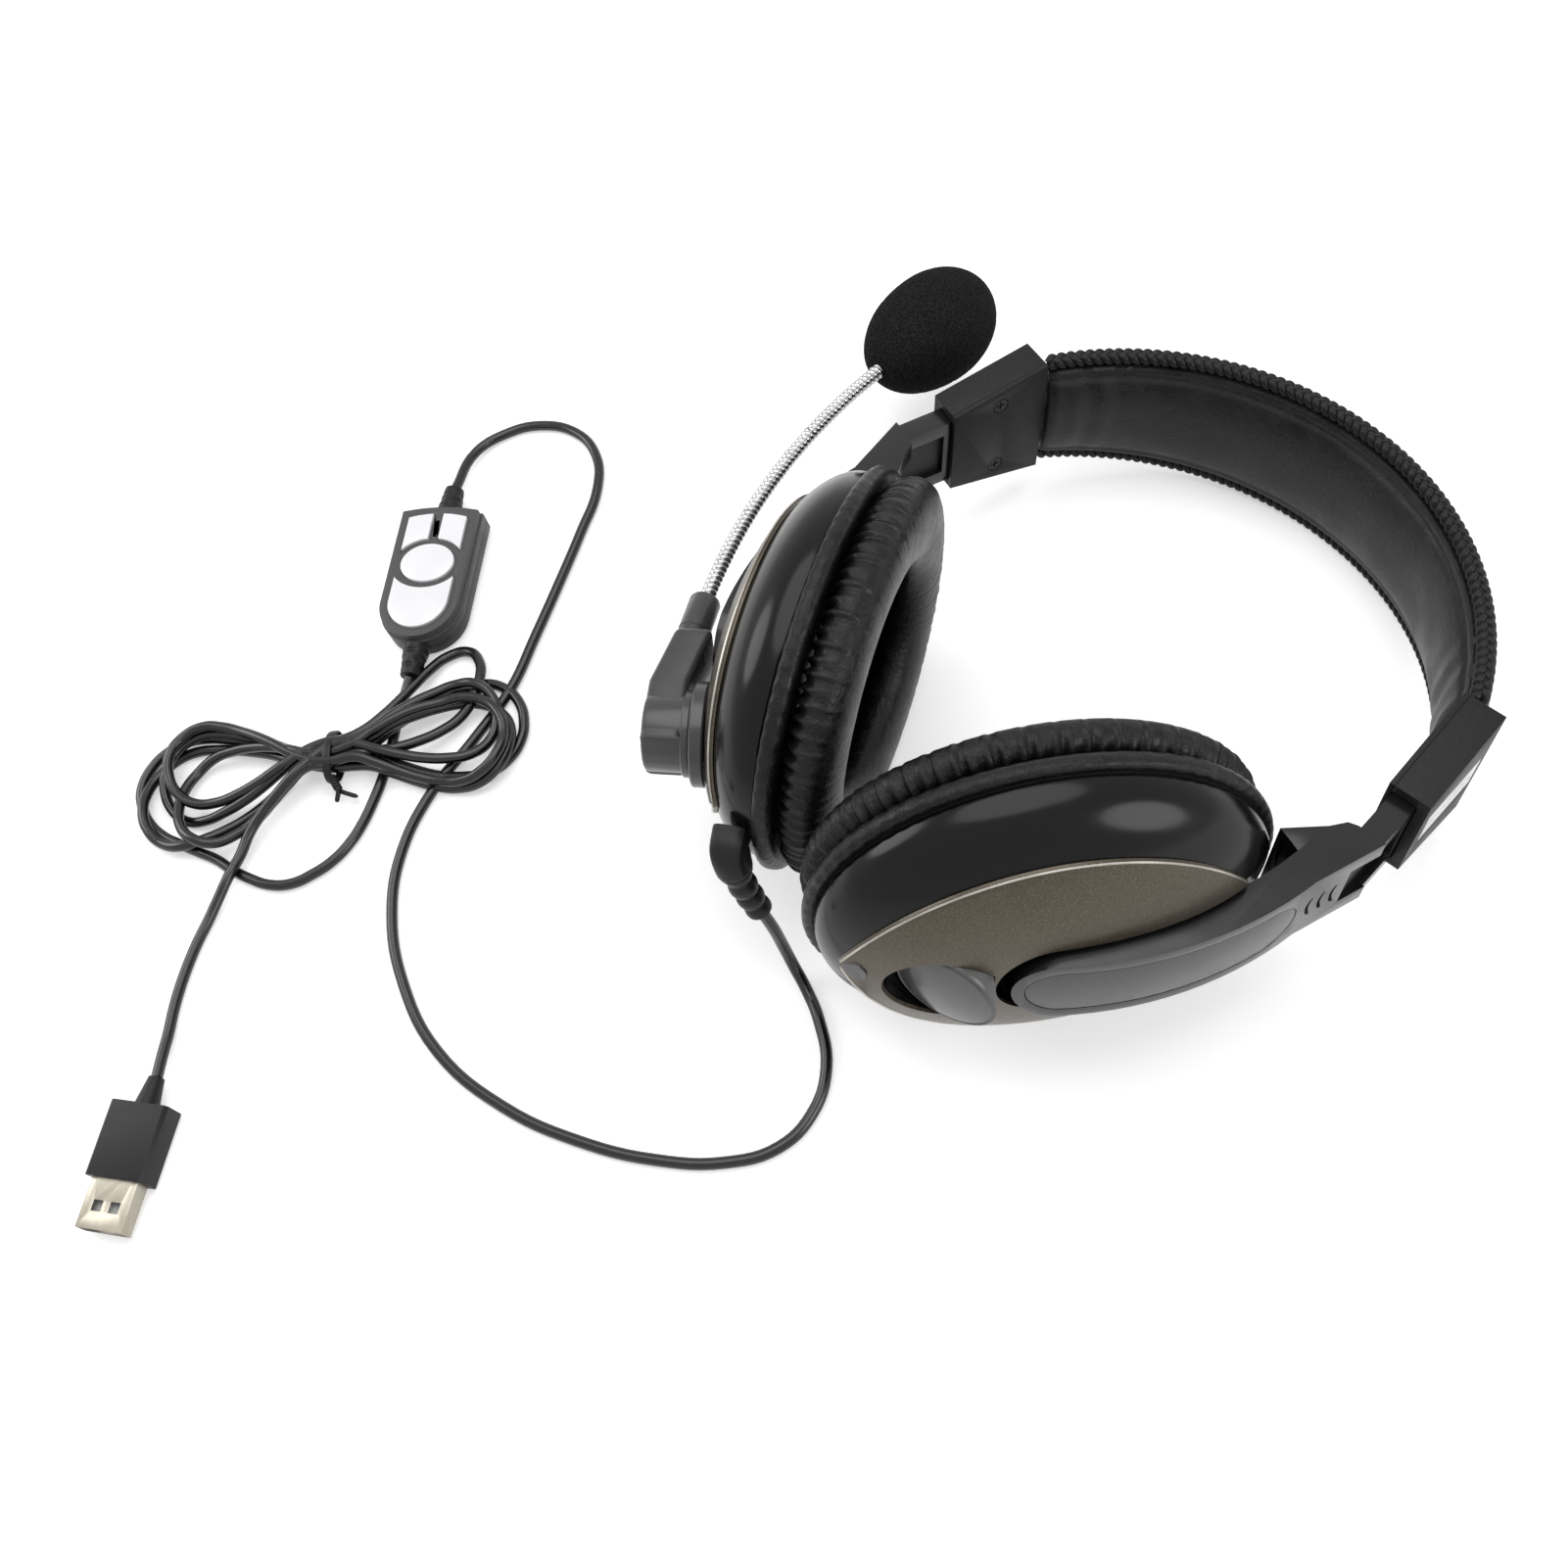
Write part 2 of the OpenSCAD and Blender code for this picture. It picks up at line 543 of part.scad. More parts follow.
screw_spots = [for (i = [-1, 1]) for (j = [-1, 1]) [i * 27, j * 23]];
module eye_outline(len, half) {
    r = (len * len + half * half) / (2 * half);
    intersection() {
        translate([0, half - r]) circle(r = r, $fn = 96);
        translate([0, r - half]) circle(r = r, $fn = 96);
    }
}
module eye_plate(s) color([0.36, 0.34, 0.31]) in_cup(s) difference() {
    intersection() {
        difference() {
            dome(fit + eye_t, shell_z);
            dome(fit, shell_z - 1);
        }
        translate([0, 0, shell_z + 0.5]) linear_extrude(40) eye_outline(43, 31.5);
    }
    recess(0, 0);
    if (s > 0) disc_space(2 * fit, 0);
    else translate([-cap_u, 0, dome_z(cap_u)]) rotate([0, -hub_tilt, 0])
        translate([0, 0, -6]) cylinder(r = cap_r + fit, h = 20);
}
module end_cap_r() color([0.2, 0.2, 0.21]) in_cup(1) intersection() {
    translate([-disc_u, -3, dome_z(disc_u)]) rotate([0, -disc_lean, 0]) {
        crown = 45;
        rim = asin(disc_r / crown);
        rotate_extrude() polygon(concat([for (i = [0:8]) [crown * sin(rim * i / 8),
            crown * (cos(rim * i / 8) - cos(rim))]], [[disc_r, -30], [0, -30]]));
    }
    translate([-60 - disc_edge, -30, disc_low]) cube([60, 60, 40]);
}
module hub_collar_l() color([0.12, 0.12, 0.12]) on_dome(-1) difference() {
    translate([0, 0, seat]) cylinder(r = cap_r, h = collar_h - seat);
    translate([0, 0, 1]) cylinder(r = pivot_r + 0.05, h = collar_h);
}
pivot_r = 4;
module baffle(s) color("dimgray") in_cup(s) difference() {
    translate([0, 0, ring_t]) linear_extrude(baffle_t - 0.02) polygon(oval(shell_a - 0.4, shell_b - 0.4));
    translate([0, 0, ring_t - 1]) cylinder(r = driver_r - 3, h = baffle_t + 2);
    for (p = screw_spots) translate([p[0], p[1], ring_t - 1]) cylinder(r = 1.15, h = baffle_t + 2);
}
module pad_ring(s) color([0.12, 0.12, 0.12]) in_cup(s) difference() {
    linear_extrude(ring_t - 0.02) polygon(oval(shell_a + 0.5, shell_b + 0.5));
    translate([0, 0, -1]) linear_extrude(ring_t + 2) polygon(oval(ear_a + 6, ear_b + 5));
    for (p = screw_spots) translate([p[0], p[1], -1])
        cylinder(r = cup_head + fit, h = ring_t + 2);
}
cup_head = 1.9;                               // head radius of the screws in a cup
module cushion(s) color([0.08, 0.08, 0.08]) in_cup(s) {
    mid_z = -seat - cushion_t / 2;
    half_w = (cushion_b - ear_b) / 2;
    rings = [for (i = [0:cup_seg - 1]) let (a = 360 * i / cup_seg,
        ca = (cushion_a + ear_a) / 2, cb = (cushion_b + ear_b) / 2,
        w = half_w + (cushion_a - ear_a - cushion_b + ear_b) / 2 * pow(cos(a), 2))
        [for (j = [0:11]) let (t = 30 * j, r = w * soft(cos(t), 0.92))
            [(ca + r) * cos(a), (cb + r) * sin(a), mid_z + cushion_t / 2 * soft(sin(t), 0.92)]]];
    skin(rings, looped = true);
}
module ear_cloth(s) color([0.03, 0.03, 0.03]) in_cup(s) translate([0, 0, ring_t - 0.9])
    linear_extrude(0.8) polygon(oval(ear_a + 5.5, ear_b + 4.5));
module driver(s) color("darkgray") in_cup(s) {
    translate([0, 0, shell_z]) {
        difference() {
            cylinder(r = driver_r, h = 2.4);
            translate([0, 0, -1]) cylinder(r = driver_r - 2.5, h = 2.4);
            translate([0, 0, 1]) cylinder(r = magnet_r - 1, h = 3);
        }
        translate([0, 0, 2]) difference() {
            cylinder(r = magnet_r, h = 3.4);
            translate([0, 0, -1]) cylinder(r = magnet_r - 2.5, h = 2.6);
        }
    }
}
magnet_r = 9;
module diaphragm(s) color("gainsboro") in_cup(s) translate([0, 0, shell_z]) {
    cylinder(r1 = driver_r - 2.6, r2 = magnet_r - 2, h = 0.6);
    cylinder(r = magnet_r - 3, h = 2.6);
}
module cup_screws(s) color("dimgray") in_cup(s) for (p = screw_spots)
    translate([p[0], p[1], ring_t - 0.05]) mirror([0, 0, 1]) {
        cylinder(r = cup_head, h = 0.6);
        translate([0, 0, -7]) cylinder(r = 0.9, h = 7.2);
    }

// ---- microphone ----
module mic_hub() color([0.15, 0.15, 0.16]) {
    on_dome(-1) {
        translate([0, 0, collar_h + fit]) cylinder(r = cap_r + 0.4, h = hub_t);
        translate([0, 0, 1.2]) cylinder(r = pivot_r, h = collar_h);
        translate([0, lever_w / 2, 0]) rotate([90, 0, 0]) linear_extrude(lever_w)
            polygon([[0, collar_h + fit], [cap_r, collar_h + fit], [lever_l, collar_h - 2.2],
                [lever_l, collar_h + hub_t - 5], [cap_r * 0.6, collar_h + hub_t], [0, collar_h + hub_t]]);
    }
    placed() translate(lever_mid) rotate([0, 0, goose_head]) rotate([-90, 0, 0]) difference() {
        translate([0, 0, -6]) cylinder(r = socket_r, h = socket_l + 6);
        translate([0, 0, socket_l - 3]) cylinder(r = goose_r + 0.02, h = 4);
    }
}
joint_r = goose_r + 0.25;                     // ball at the end of each third
joint_gap = 0.12;                             // clearance of a gooseneck ball joint
module goose(i) color([0.78, 0.78, 0.78]) placed() {
    tube_r = goose_r;
    difference() {
        union() {
            translate(goose_centre) rotate([0, 0, 180 + goose_head - goose_step * i])
                rotate_extrude(angle = goose_step, $fn = 180)
                    translate([goose_bend, 0]) circle(r = tube_r, $fn = 32);
            translate(goose_at(i * goose_step)) rotate([0, 0, goose_head - goose_step * i])
                rotate([90, 0, 0]) sphere(r = joint_r);
        }
        if (i > 1) translate(goose_at((i - 1) * goose_step)) sphere(r = joint_r + joint_gap);
    }
}
module along_foam() {
    placed() translate(goose_at(3 * goose_step)) rotate([0, 0, foam_head]) rotate([-90, 0, 0])
        children();
}
collar_l = 7;
capsule_r = 4.8;
capsule_l = 8;
module mic_collar() color([0.05, 0.05, 0.05]) along_foam() difference() {
    cylinder(r = 3.1, h = collar_l);
    sphere(r = joint_r + joint_gap);
}
module mic_capsule() color("silver") along_foam() translate([0, 0, collar_l]) difference() {
    cylinder(r = capsule_r, h = capsule_l);
    translate([0, 0, capsule_l - 1]) cylinder(r = capsule_r - 0.8, h = 2);
}
module mic_foam() color([0.04, 0.04, 0.04]) along_foam() translate([0, 0, foam_end - 3]) {
    steps = 22;
    profile = [for (i = [0:steps]) let (a = 180 * i / steps)
        [foam_r * sin(a) * (1 - 0.06 * cos(a)), -foam_l / 2 * cos(a)]];
    z0 = 3 - foam_end;
    difference() {
        rotate_extrude() polygon(profile);
        translate([0, 0, z0 - 6]) cylinder(r = 3.2, h = collar_l + 6);
        translate([0, 0, z0 + collar_l - 0.1]) cylinder(r = capsule_r + 0.1, h = capsule_l + 0.2);
    }
}

// ---- cord, lying on the table; its points are measured from the middle of the cup line ----
cord_z = cord_d / 2 + 0.05;
boot_out = shell_a + 0.5;
boot_path = [[-boot_out, -3, 8.2], [-boot_out - 2.6, -3.6, 7.6], [-boot_out - 4.4, -6, 6.4],
    [-boot_out - 5.2, -10.5, 4.8], [-boot_out - 5, -16.5, 3], [-boot_out - 4.6, -22.5, 1]];
module cup_boot() color([0.09, 0.09, 0.09]) in_cup(-1) {
    p = smooth(boot_path, 4);
    last = len(p) - 1;
    tube(p, [for (i = [0:last]) 3.5 - 0.9 * i / last + (i % 4 < 2 ? 0 : 0.45)], 10, [0, 0, 1]);
}
boot_tip = cup_at(-1, boot_path[5][0], boot_path[5][1], boot_path[5][2]);
cord_start = [boot_tip[0], boot_tip[1] * cos(lean) + boot_tip[2] * sin(lean),
    org[2] - boot_tip[1] * sin(lean) + boot_tip[2] * cos(lean)];
main_pts = [[-3, -41.3, 19.8], [-1.6, -41.3, 11], [0.8, -41.7, 4.8], [6, -42.7, 1.7], [14, -45.2, cord_z],
    [24, -51, cord_z], [30, -60, cord_z], [31, -70, cord_z], [26, -81, cord_z], [15, -93, cord_z],
    [0, -104, cord_z], [-18, -113, cord_z], [-40, -118, cord_z], [-60, -115.5, cord_z],
    [-78, -108, cord_z], [-91, -97, cord_z], [-100, -82, cord_z], [-105, -66, cord_z],
    [-111, -50, cord_z], [-120, -36, cord_z], [-130, -21, cord_z], [-139, -8, cord_z],
    [-148, 4, cord_z], [-158, 10.5, cord_z], [-169, 11, cord_z], [-179, 5, cord_z],
    [-184, -4, cord_z], [-184, -14, 2.4]];
tail_pts = [[-122, -123, 3.4], [-116, -133, cord_z], [-107, -149, cord_z], [-97, -161, cord_z],
    [-88, -168.5, 2.2]];
module on_table() translate([org[0], org[1], 0]) children();
function even(p, step) = let (d = [for (i = 0, s = 0; i < len(p); i = i + 1,
        s = i < len(p) ? s + norm(p[i] - p[i - 1]) : s) s], total = d[len(d) - 1],
        n = round(total / step))
    [for (k = [0:n]) let (t = total * k / n,
        i = max([for (j = [0:len(d) - 2]) d[j] <= t ? j : 0]))
        p[i] + (p[i + 1] - p[i]) * (t - d[i]) / max(d[i + 1] - d[i], 0.001)];
module cord_run(p, step) {
    q = even(smooth(p, 6), step);
    tube(q, [for (i = q) cord_d / 2], 8);
}
module cord_main() color([0.05, 0.05, 0.05]) on_table()
    cord_run(concat([cord_start], main_pts, [remote_tip]), 8.2);
module cord_tail() color([0.05, 0.05, 0.05]) on_table() cord_run(concat(tail_pts, [plug_tip]), 7.5);
hank_pts = [[-127, -92], [-137, -102], [-148, -115], [-156, -128], [-156, -138], [-149, -145],
    [-138, -144], [-127, -137], [-116, -130], [-103, -125], [-99, -112], [-106, -98], [-113, -92],
    [-104, -84], [-93, -73], [-92, -62], [-99, -54], [-111, -52.5], [-122, -53], [-128.5, -59],
    [-129, -70], [-128, -82]];
module cord_hank() color([0.06, 0.06, 0.06]) on_table() translate([0, 0, 0.05])
    linear_extrude(hank_h) polygon(ring_path(hank_pts, 3));
tie_at = [-124.5, -96.5];
tie_turn = -40;
module hank_tie() color([0.02, 0.02, 0.02]) on_table() translate([tie_at[0], tie_at[1], 0])
    rotate([0, 0, tie_turn]) {
        translate([-7, -1.6, hank_h + 0.15]) cube([14, 3.2, 0.9]);
        translate([2, -3.8, hank_h + 0.15]) cube([1.2, 7.6, 1.6]);
    }

// ---- remote: x runs from its top end to its round end, z is up ----
remote_at = [-154.5, -46, 0.05];
remote_turn = -44;
module on_remote() on_table() translate(remote_at) rotate([0, 0, remote_turn]) children();
split_z = 5;
remote_dir = [cos(remote_turn), sin(remote_turn), 0];
remote_boot_l = 9;
remote_bow = 1.2;                             // arch of the top end
remote_top_x = remote_l / 2 + remote_bow + 0.05;
remote_tip = remote_at - (remote_top_x + remote_boot_l) * remote_dir + [0, 0, split_z - 0.4];
module remote_outline(inset = 0) {
    w = remote_w - 2 * inset;
    x0 = -remote_l / 2 + inset;
    bow = remote_bow;
    r = (pow(w / 2, 2) + bow * bow) / (2 * bow);
    intersection() {
        union() {
            translate([x0 - bow, -w / 2]) square([remote_l / 2 - x0 + bow - 6, w]);
            translate([remote_l / 2 - 6, 0]) circle(r = w / 2, $fn = 64);
        }
        translate([x0 - bow + r, 0]) circle(r = r, $fn = 160);
    }
}
module remote_bottom() color([0.2, 0.2, 0.21]) on_remote() difference() {
    union() {
        linear_extrude(split_z - 0.05) remote_outline(0.8);
        translate([0, 0, 1.4]) linear_extrude(split_z - 1.45) remote_outline();
    }
    translate([0, 0, remote_wall]) linear_extrude(remote_h) remote_outline(0.8 + remote_wall);
    boot_holes();
}
module boot_holes() {
    for (x = [-remote_l / 2 - 4, remote_l / 2 - 2]) translate([x, 0, split_z - 0.4])
        rotate([0, 90, 0]) cylinder(r = 2.3, h = 12);
}
module remote_top() color([0.23, 0.23, 0.24]) on_remote() difference() {
    union() {
        translate([0, 0, split_z]) linear_extrude(remote_h - split_z) remote_outline(0.5);
        translate([0, 0, split_z]) linear_extrude(2.4) remote_outline();
    }
    translate([0, 0, split_z - 1]) linear_extrude(remote_h - split_z + 1 - remote_wall)
        remote_outline(0.8 + remote_wall);
    boot_holes();
    translate([0, 0, split_z]) linear_extrude(20) {
        oval_key(button_gap);
        moon_key(button_gap);
        for (e = [-1, 1]) side_key(e, button_gap);
    }
    for (x = [-13.4, -9.6]) translate([x - 0.8, -0.45, split_z]) cube([1.6, 0.9, 20]);
}
key_in = 3.1;                                 // border between the keys and the remote's edge
oval_a = 6.1;
oval_b = 7.6;
module oval_key(g) polygon(oval(oval_a + g, oval_b + g));
module moon_key(g) intersection() {
    difference() {
        remote_outline(key_in - g);
        polygon(oval(oval_a + 2 - g, oval_b + 2.6 - g));
    }
    translate([1.2 - g, -20]) square([40, 40]);
}
module side_key(e, g) intersection() {
    difference() {
        remote_outline(key_in - g);
        polygon(oval(oval_a + 1.8 - g, oval_b + 2.4 - g));
    }
    translate([-40 + g, e > 0 ? 1.5 - g : -20]) square([38, 18.5 + g]);
}
module key(foot_x, foot_y) color("whitesmoke") on_remote() {
    top = remote_h + button_up;
    roof = remote_h - remote_wall;
    translate([0, 0, roof - 1]) linear_extrude(top - roof + 1) children(0);
    translate([0, 0, roof - 0.1 - 0.9]) linear_extrude(0.9) intersection() {
        children(1);
        remote_outline(0.8 + remote_wall + 0.2);
    }
    translate([foot_x, foot_y, 4.4]) cylinder(r = 1, h = roof - 4.4 - 0.2);
}
module button_left() key(-11, 5) { side_key(1, 0); side_key(1, 0.55); }
module button_right() key(-11, -5) { side_key(-1, 0); side_key(-1, 0.55); }
module button_oval() key(0, 0) { oval_key(0); oval_key(0.55); }
module button_moon() key(13, 0) { moon_key(0); moon_key(0.55); }
module remote_board() color("seagreen") on_remote() {
    z = remote_wall + 0.1;
    translate([0, 0, z]) linear_extrude(1.2) remote_outline(0.8 + remote_wall + 0.4);
    for (p = [[-11, 5], [-11, -5], [0, 0], [13, 0]]) translate([p[0], p[1], z])
        cylinder(r = 2, h = 2);
    for (x = [-13.4, -9.6]) translate([x - 0.6, -0.35, z]) cube([1.2, 0.7, 6.4]);
}
module remote_boots() color([0.16, 0.16, 0.17]) on_remote() {
    z = split_z - 0.4;
    r_end = cord_d / 2 + 0.7;
    for (e = [[-remote_top_x, -90], [remote_end_x + 0.05, 90]]) translate([e[0], 0, z])
        rotate([0, e[1], 0]) {
            cylinder(r1 = 3.2, r2 = r_end, h = remote_boot_l);
            translate([0, 0, -2]) cylinder(r = 2.2, h = 2.1);
        }
}
remote_end_x = remote_l / 2 - 6 + remote_w / 2;

// ---- plug: x points to the contacts' mouth ----
plug_at = [-59, -197.5, grip_t / 2 + 0.05];
plug_turn = -48;
module on_plug() on_table() translate(plug_at) rotate([0, 0, plug_turn]) children();
plug_boot_l = 7;
plug_tip = plug_at + (-usb_l / 2 - grip_l - plug_boot_l + 0.1) * [cos(plug_turn), sin(plug_turn), 0];
sheet_t = 0.35;
module plug_grip() color([0.1, 0.1, 0.1]) on_plug() {
    x1 = -usb_l / 2;
    x0 = x1 - grip_l;
    difference() {
        translate([x1, 0, 0]) rotate([0, -90, 0]) linear_extrude(grip_l)
            intersection() {
                square([grip_t, grip_w], center = true);
                rotate(45) square(0.93 * (grip_t + grip_w) / sqrt(2), center = true);
            }
        translate([x1 - 6, -usb_w / 2 - 0.02, -usb_t / 2 - 0.02])
            cube([7, usb_w + 0.04, usb_t + 0.04]);
    }
    translate([x0, 0, 0]) rotate([0, -90, 0]) cylinder(r1 = 3, r2 = cord_d / 2 + 0.5, h = plug_boot_l);
}
module plug_shell() color("silver") on_plug() difference() {
    translate([-usb_l / 2 - 6, -usb_w / 2, -usb_t / 2]) cube([usb_l + 6, usb_w, usb_t]);
    translate([-usb_l / 2 - 7, -usb_w / 2 + sheet_t, -usb_t / 2 + sheet_t])
        cube([usb_l + 9, usb_w - 2 * sheet_t, usb_t - 2 * sheet_t]);
    for (y = [-3.5, 1]) translate([usb_l / 2 - 6.6, y, 0]) cube([2.5, 2.5, 10]);
}
module plug_tongue() color("white") on_plug()
    translate([-usb_l / 2 - 6, -usb_w / 2 + sheet_t + 0.05, -usb_t / 2 + sheet_t + 0.05]) {
        cube([usb_l + 5.2, usb_w - 2 * sheet_t - 0.1, 1.7]);
        for (i = [-1.5:1.5]) translate([6, usb_w / 2 - sheet_t + i * 2.2 - 0.5, 1.65])
            cube([usb_l - 1.6, 1, 0.15]);
    }

band_spring();
band_pad();
band_cover();
edge_braid();
bracket_body(-1);  // bracket_body_l
bracket_body(1);  // bracket_body_r
bracket_plates();
bracket_screws();
bracket_inlays();
arm(-1);  // arm_l
arm(1);  // arm_r
arm_cover(-1);  // arm_cover_l
arm_cover(1);  // arm_cover_r
ball_liner(-1);  // ball_liner_l
ball_liner(1);  // ball_liner_r
ball_stud(-1);  // ball_stud_l
ball_stud(1);  // ball_stud_r
shell(-1);  // shell_l
shell(1);  // shell_r
eye_plate(-1);  // eye_plate_l
eye_plate(1);  // eye_plate_r
end_cap_r();
hub_collar_l();
baffle(-1);  // baffle_l
baffle(1);  // baffle_r
pad_ring(-1);  // pad_ring_l
pad_ring(1);  // pad_ring_r
cushion(-1);  // cushion_l
cushion(1);  // cushion_r
ear_cloth(-1);  // ear_cloth_l
ear_cloth(1);  // ear_cloth_r
driver(-1);  // driver_l
driver(1);  // driver_r
diaphragm(-1);  // diaphragm_l
diaphragm(1);  // diaphragm_r
cup_screws(-1);  // cup_screws_l
cup_screws(1);  // cup_screws_r
mic_hub();
goose(1);  // goose_1
goose(2);  // goose_2
goose(3);  // goose_3
mic_collar();
mic_capsule();
mic_foam();
cup_boot();
cord_main();
cord_hank();
hank_tie();
cord_tail();
remote_bottom();
remote_top();
remote_board();
remote_boots();
button_left();
button_right();
button_oval();
button_moon();
plug_grip();
plug_shell();
plug_tongue();
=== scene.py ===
import json
import math

import bmesh
import bpy
import numpy as np
from mathutils import Matrix, Vector
from mathutils.bvhtree import BVHTree

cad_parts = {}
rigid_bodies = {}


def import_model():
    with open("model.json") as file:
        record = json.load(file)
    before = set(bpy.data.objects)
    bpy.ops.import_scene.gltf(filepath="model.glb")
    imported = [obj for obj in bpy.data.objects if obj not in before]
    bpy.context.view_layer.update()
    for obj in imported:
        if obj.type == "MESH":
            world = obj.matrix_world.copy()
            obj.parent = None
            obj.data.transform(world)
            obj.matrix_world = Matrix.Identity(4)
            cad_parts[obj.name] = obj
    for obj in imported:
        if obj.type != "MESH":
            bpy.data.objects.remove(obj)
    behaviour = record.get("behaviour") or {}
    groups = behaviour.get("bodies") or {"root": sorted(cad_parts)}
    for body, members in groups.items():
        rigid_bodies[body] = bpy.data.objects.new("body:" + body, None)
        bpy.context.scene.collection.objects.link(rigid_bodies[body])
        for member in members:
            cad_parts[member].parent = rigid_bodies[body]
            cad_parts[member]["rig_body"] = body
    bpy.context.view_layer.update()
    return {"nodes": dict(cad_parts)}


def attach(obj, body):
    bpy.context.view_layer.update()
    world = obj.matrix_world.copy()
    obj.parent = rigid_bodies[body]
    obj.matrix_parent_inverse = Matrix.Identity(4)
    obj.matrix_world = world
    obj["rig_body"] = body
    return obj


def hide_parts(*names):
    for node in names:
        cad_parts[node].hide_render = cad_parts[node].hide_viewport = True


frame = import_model()
scene = bpy.context.scene
scene.view_settings.view_transform = "Standard"
mm = 0.001
print("headset: frame loaded")

# heading, tilt and roll are in degrees; at zero it looks straight down with +Y up
cameraSettings = {"place": (166.28, -124.42, 348.94), "heading": 70.558, "tilt": 29.236,
                  "roll": -20.892, "lens": 37.39, "sensor": 36.0}
cameraData = bpy.data.cameras.new("camera")
cameraData.lens = cameraSettings["lens"]
cameraData.sensor_width = cameraSettings["sensor"]
cameraData.sensor_fit = "AUTO"
cameraData.clip_start = 0.01
camera = bpy.data.objects.new("camera", cameraData)
scene.collection.objects.link(camera)
camera.matrix_world = (Matrix.Translation(Vector(cameraSettings["place"]) * mm)
                       @ Matrix.Rotation(math.radians(cameraSettings["heading"]), 4, "Z")
                       @ Matrix.Rotation(math.radians(cameraSettings["tilt"]), 4, "X")
                       @ Matrix.Rotation(math.radians(cameraSettings["roll"]), 4, "Z"))
scene.camera = camera


# surfaces: points in millimetres, whole arrays at a time
def shift(x, y, z):
    place = np.eye(4)
    place[:3, 3] = (x, y, z)
    return place


def turn(axis, degrees):
    place = np.eye(4)
    place[:3, :3] = np.array(Matrix.Rotation(math.radians(degrees), 3, axis))
    return place


def put(points, place):
    return np.asarray(points, float) @ place[:3, :3].T + place[:3, 3]


def stack(*columns):
    return np.stack(np.broadcast_arrays(*[np.asarray(c, float) for c in columns]), -1)


def gridFaces(rows, cols, ringRows=False, ringCols=False):
    i = np.arange(rows if ringRows else rows - 1)[:, None]
    j = np.arange(cols if ringCols else cols - 1)[None, :]
    i2, j2 = (i + 1) % rows, (j + 1) % cols
    return np.stack([i * cols + j, i2 * cols + j, i2 * cols + j2, i * cols + j2],
                    -1).reshape(-1, 4)


def around(count):
    return np.arange(count) / count * 2 * np.pi


def closedTube(grid):
    # rows of rings, with a flat cap on both ends
    rows, cols = grid.shape[:2]
    ends = np.stack([np.arange(cols)[::-1], (rows - 1) * cols + np.arange(cols)])
    return grid.reshape(-1, 3), [gridFaces(rows, cols, ringCols=True), ends]


def closedRing(grid):
    # rows of rings whose last row meets the first
    return grid.reshape(-1, 3), [gridFaces(*grid.shape[:2], ringRows=True, ringCols=True)]


def together(*surfaces):
    points, faces, start = [], [], 0
    for corners, groups in surfaces:
        corners = np.asarray(corners, float).reshape(-1, 3)
        points.append(corners)
        faces += [np.asarray(g) + start for g in groups]
        start += len(corners)
    return np.concatenate(points), faces


def meshFrom(name, points, faces):
    corners = np.asarray(points, float).reshape(-1, 3) * mm
    groups = [np.asarray(g) for g in faces if len(g)]
    loops = np.concatenate([g.ravel() for g in groups]).astype(np.int32)
    sizes = np.concatenate([np.full(len(g), g.shape[1]) for g in groups])
    mesh = bpy.data.meshes.new(name)
    mesh.vertices.add(len(corners))
    mesh.vertices.foreach_set("co", corners.ravel())
    mesh.loops.add(len(loops))
    mesh.loops.foreach_set("vertex_index", loops)
    mesh.polygons.add(len(sizes))
    mesh.polygons.foreach_set("loop_start",
                              np.concatenate([[0], np.cumsum(sizes)[:-1]]).astype(np.int32))
    mesh.update(calc_edges=True)
    mesh.validate()
    return mesh


def smoothOver(mesh, sharp):
    mesh.shade_smooth()
    mesh.set_sharp_from_angle(angle=math.radians(sharp))


def weld(mesh, near=0.002, flat=0.0):
    # joins points that lie together, and turns the faces outward
    work = bmesh.new()
    work.from_mesh(mesh)
    bmesh.ops.remove_doubles(work, verts=work.verts, dist=near * mm)
    bmesh.ops.dissolve_degenerate(work, edges=work.edges, dist=near * mm)
    if flat:
        bmesh.ops.dissolve_limit(work, angle_limit=math.radians(flat), verts=work.verts,
                                 edges=work.edges)
    bmesh.ops.recalc_face_normals(work, faces=work.faces)
    work.to_mesh(mesh)
    work.free()


def settle(piece):
    # the modifiers become the piece's own mesh
    graph = bpy.context.evaluated_depsgraph_get()
    done = bpy.data.meshes.new_from_object(piece.evaluated_get(graph))
    piece.modifiers.clear()
    old = piece.data
    piece.data = done
    done.name = piece.name
    if old.users == 0:
        bpy.data.meshes.remove(old)


def linked(name, mesh):
    piece = bpy.data.objects.new(name, mesh)
    scene.collection.objects.link(piece)
    return piece


def solid(name, surface):
    mesh = meshFrom(name, *surface)
    weld(mesh)
    return linked(name, mesh)


def declare(piece, finish, body, standsFor):
    piece.data.materials.append(finish.material)
    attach(piece, body)
    if standsFor:
        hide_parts(*standsFor)
    return piece


def addPiece(name, surface, finish, body, standsFor=(), sharp=40.0):
    piece = solid(name, surface)
    smoothOver(piece.data, sharp)
    return declare(piece, finish, body, standsFor)


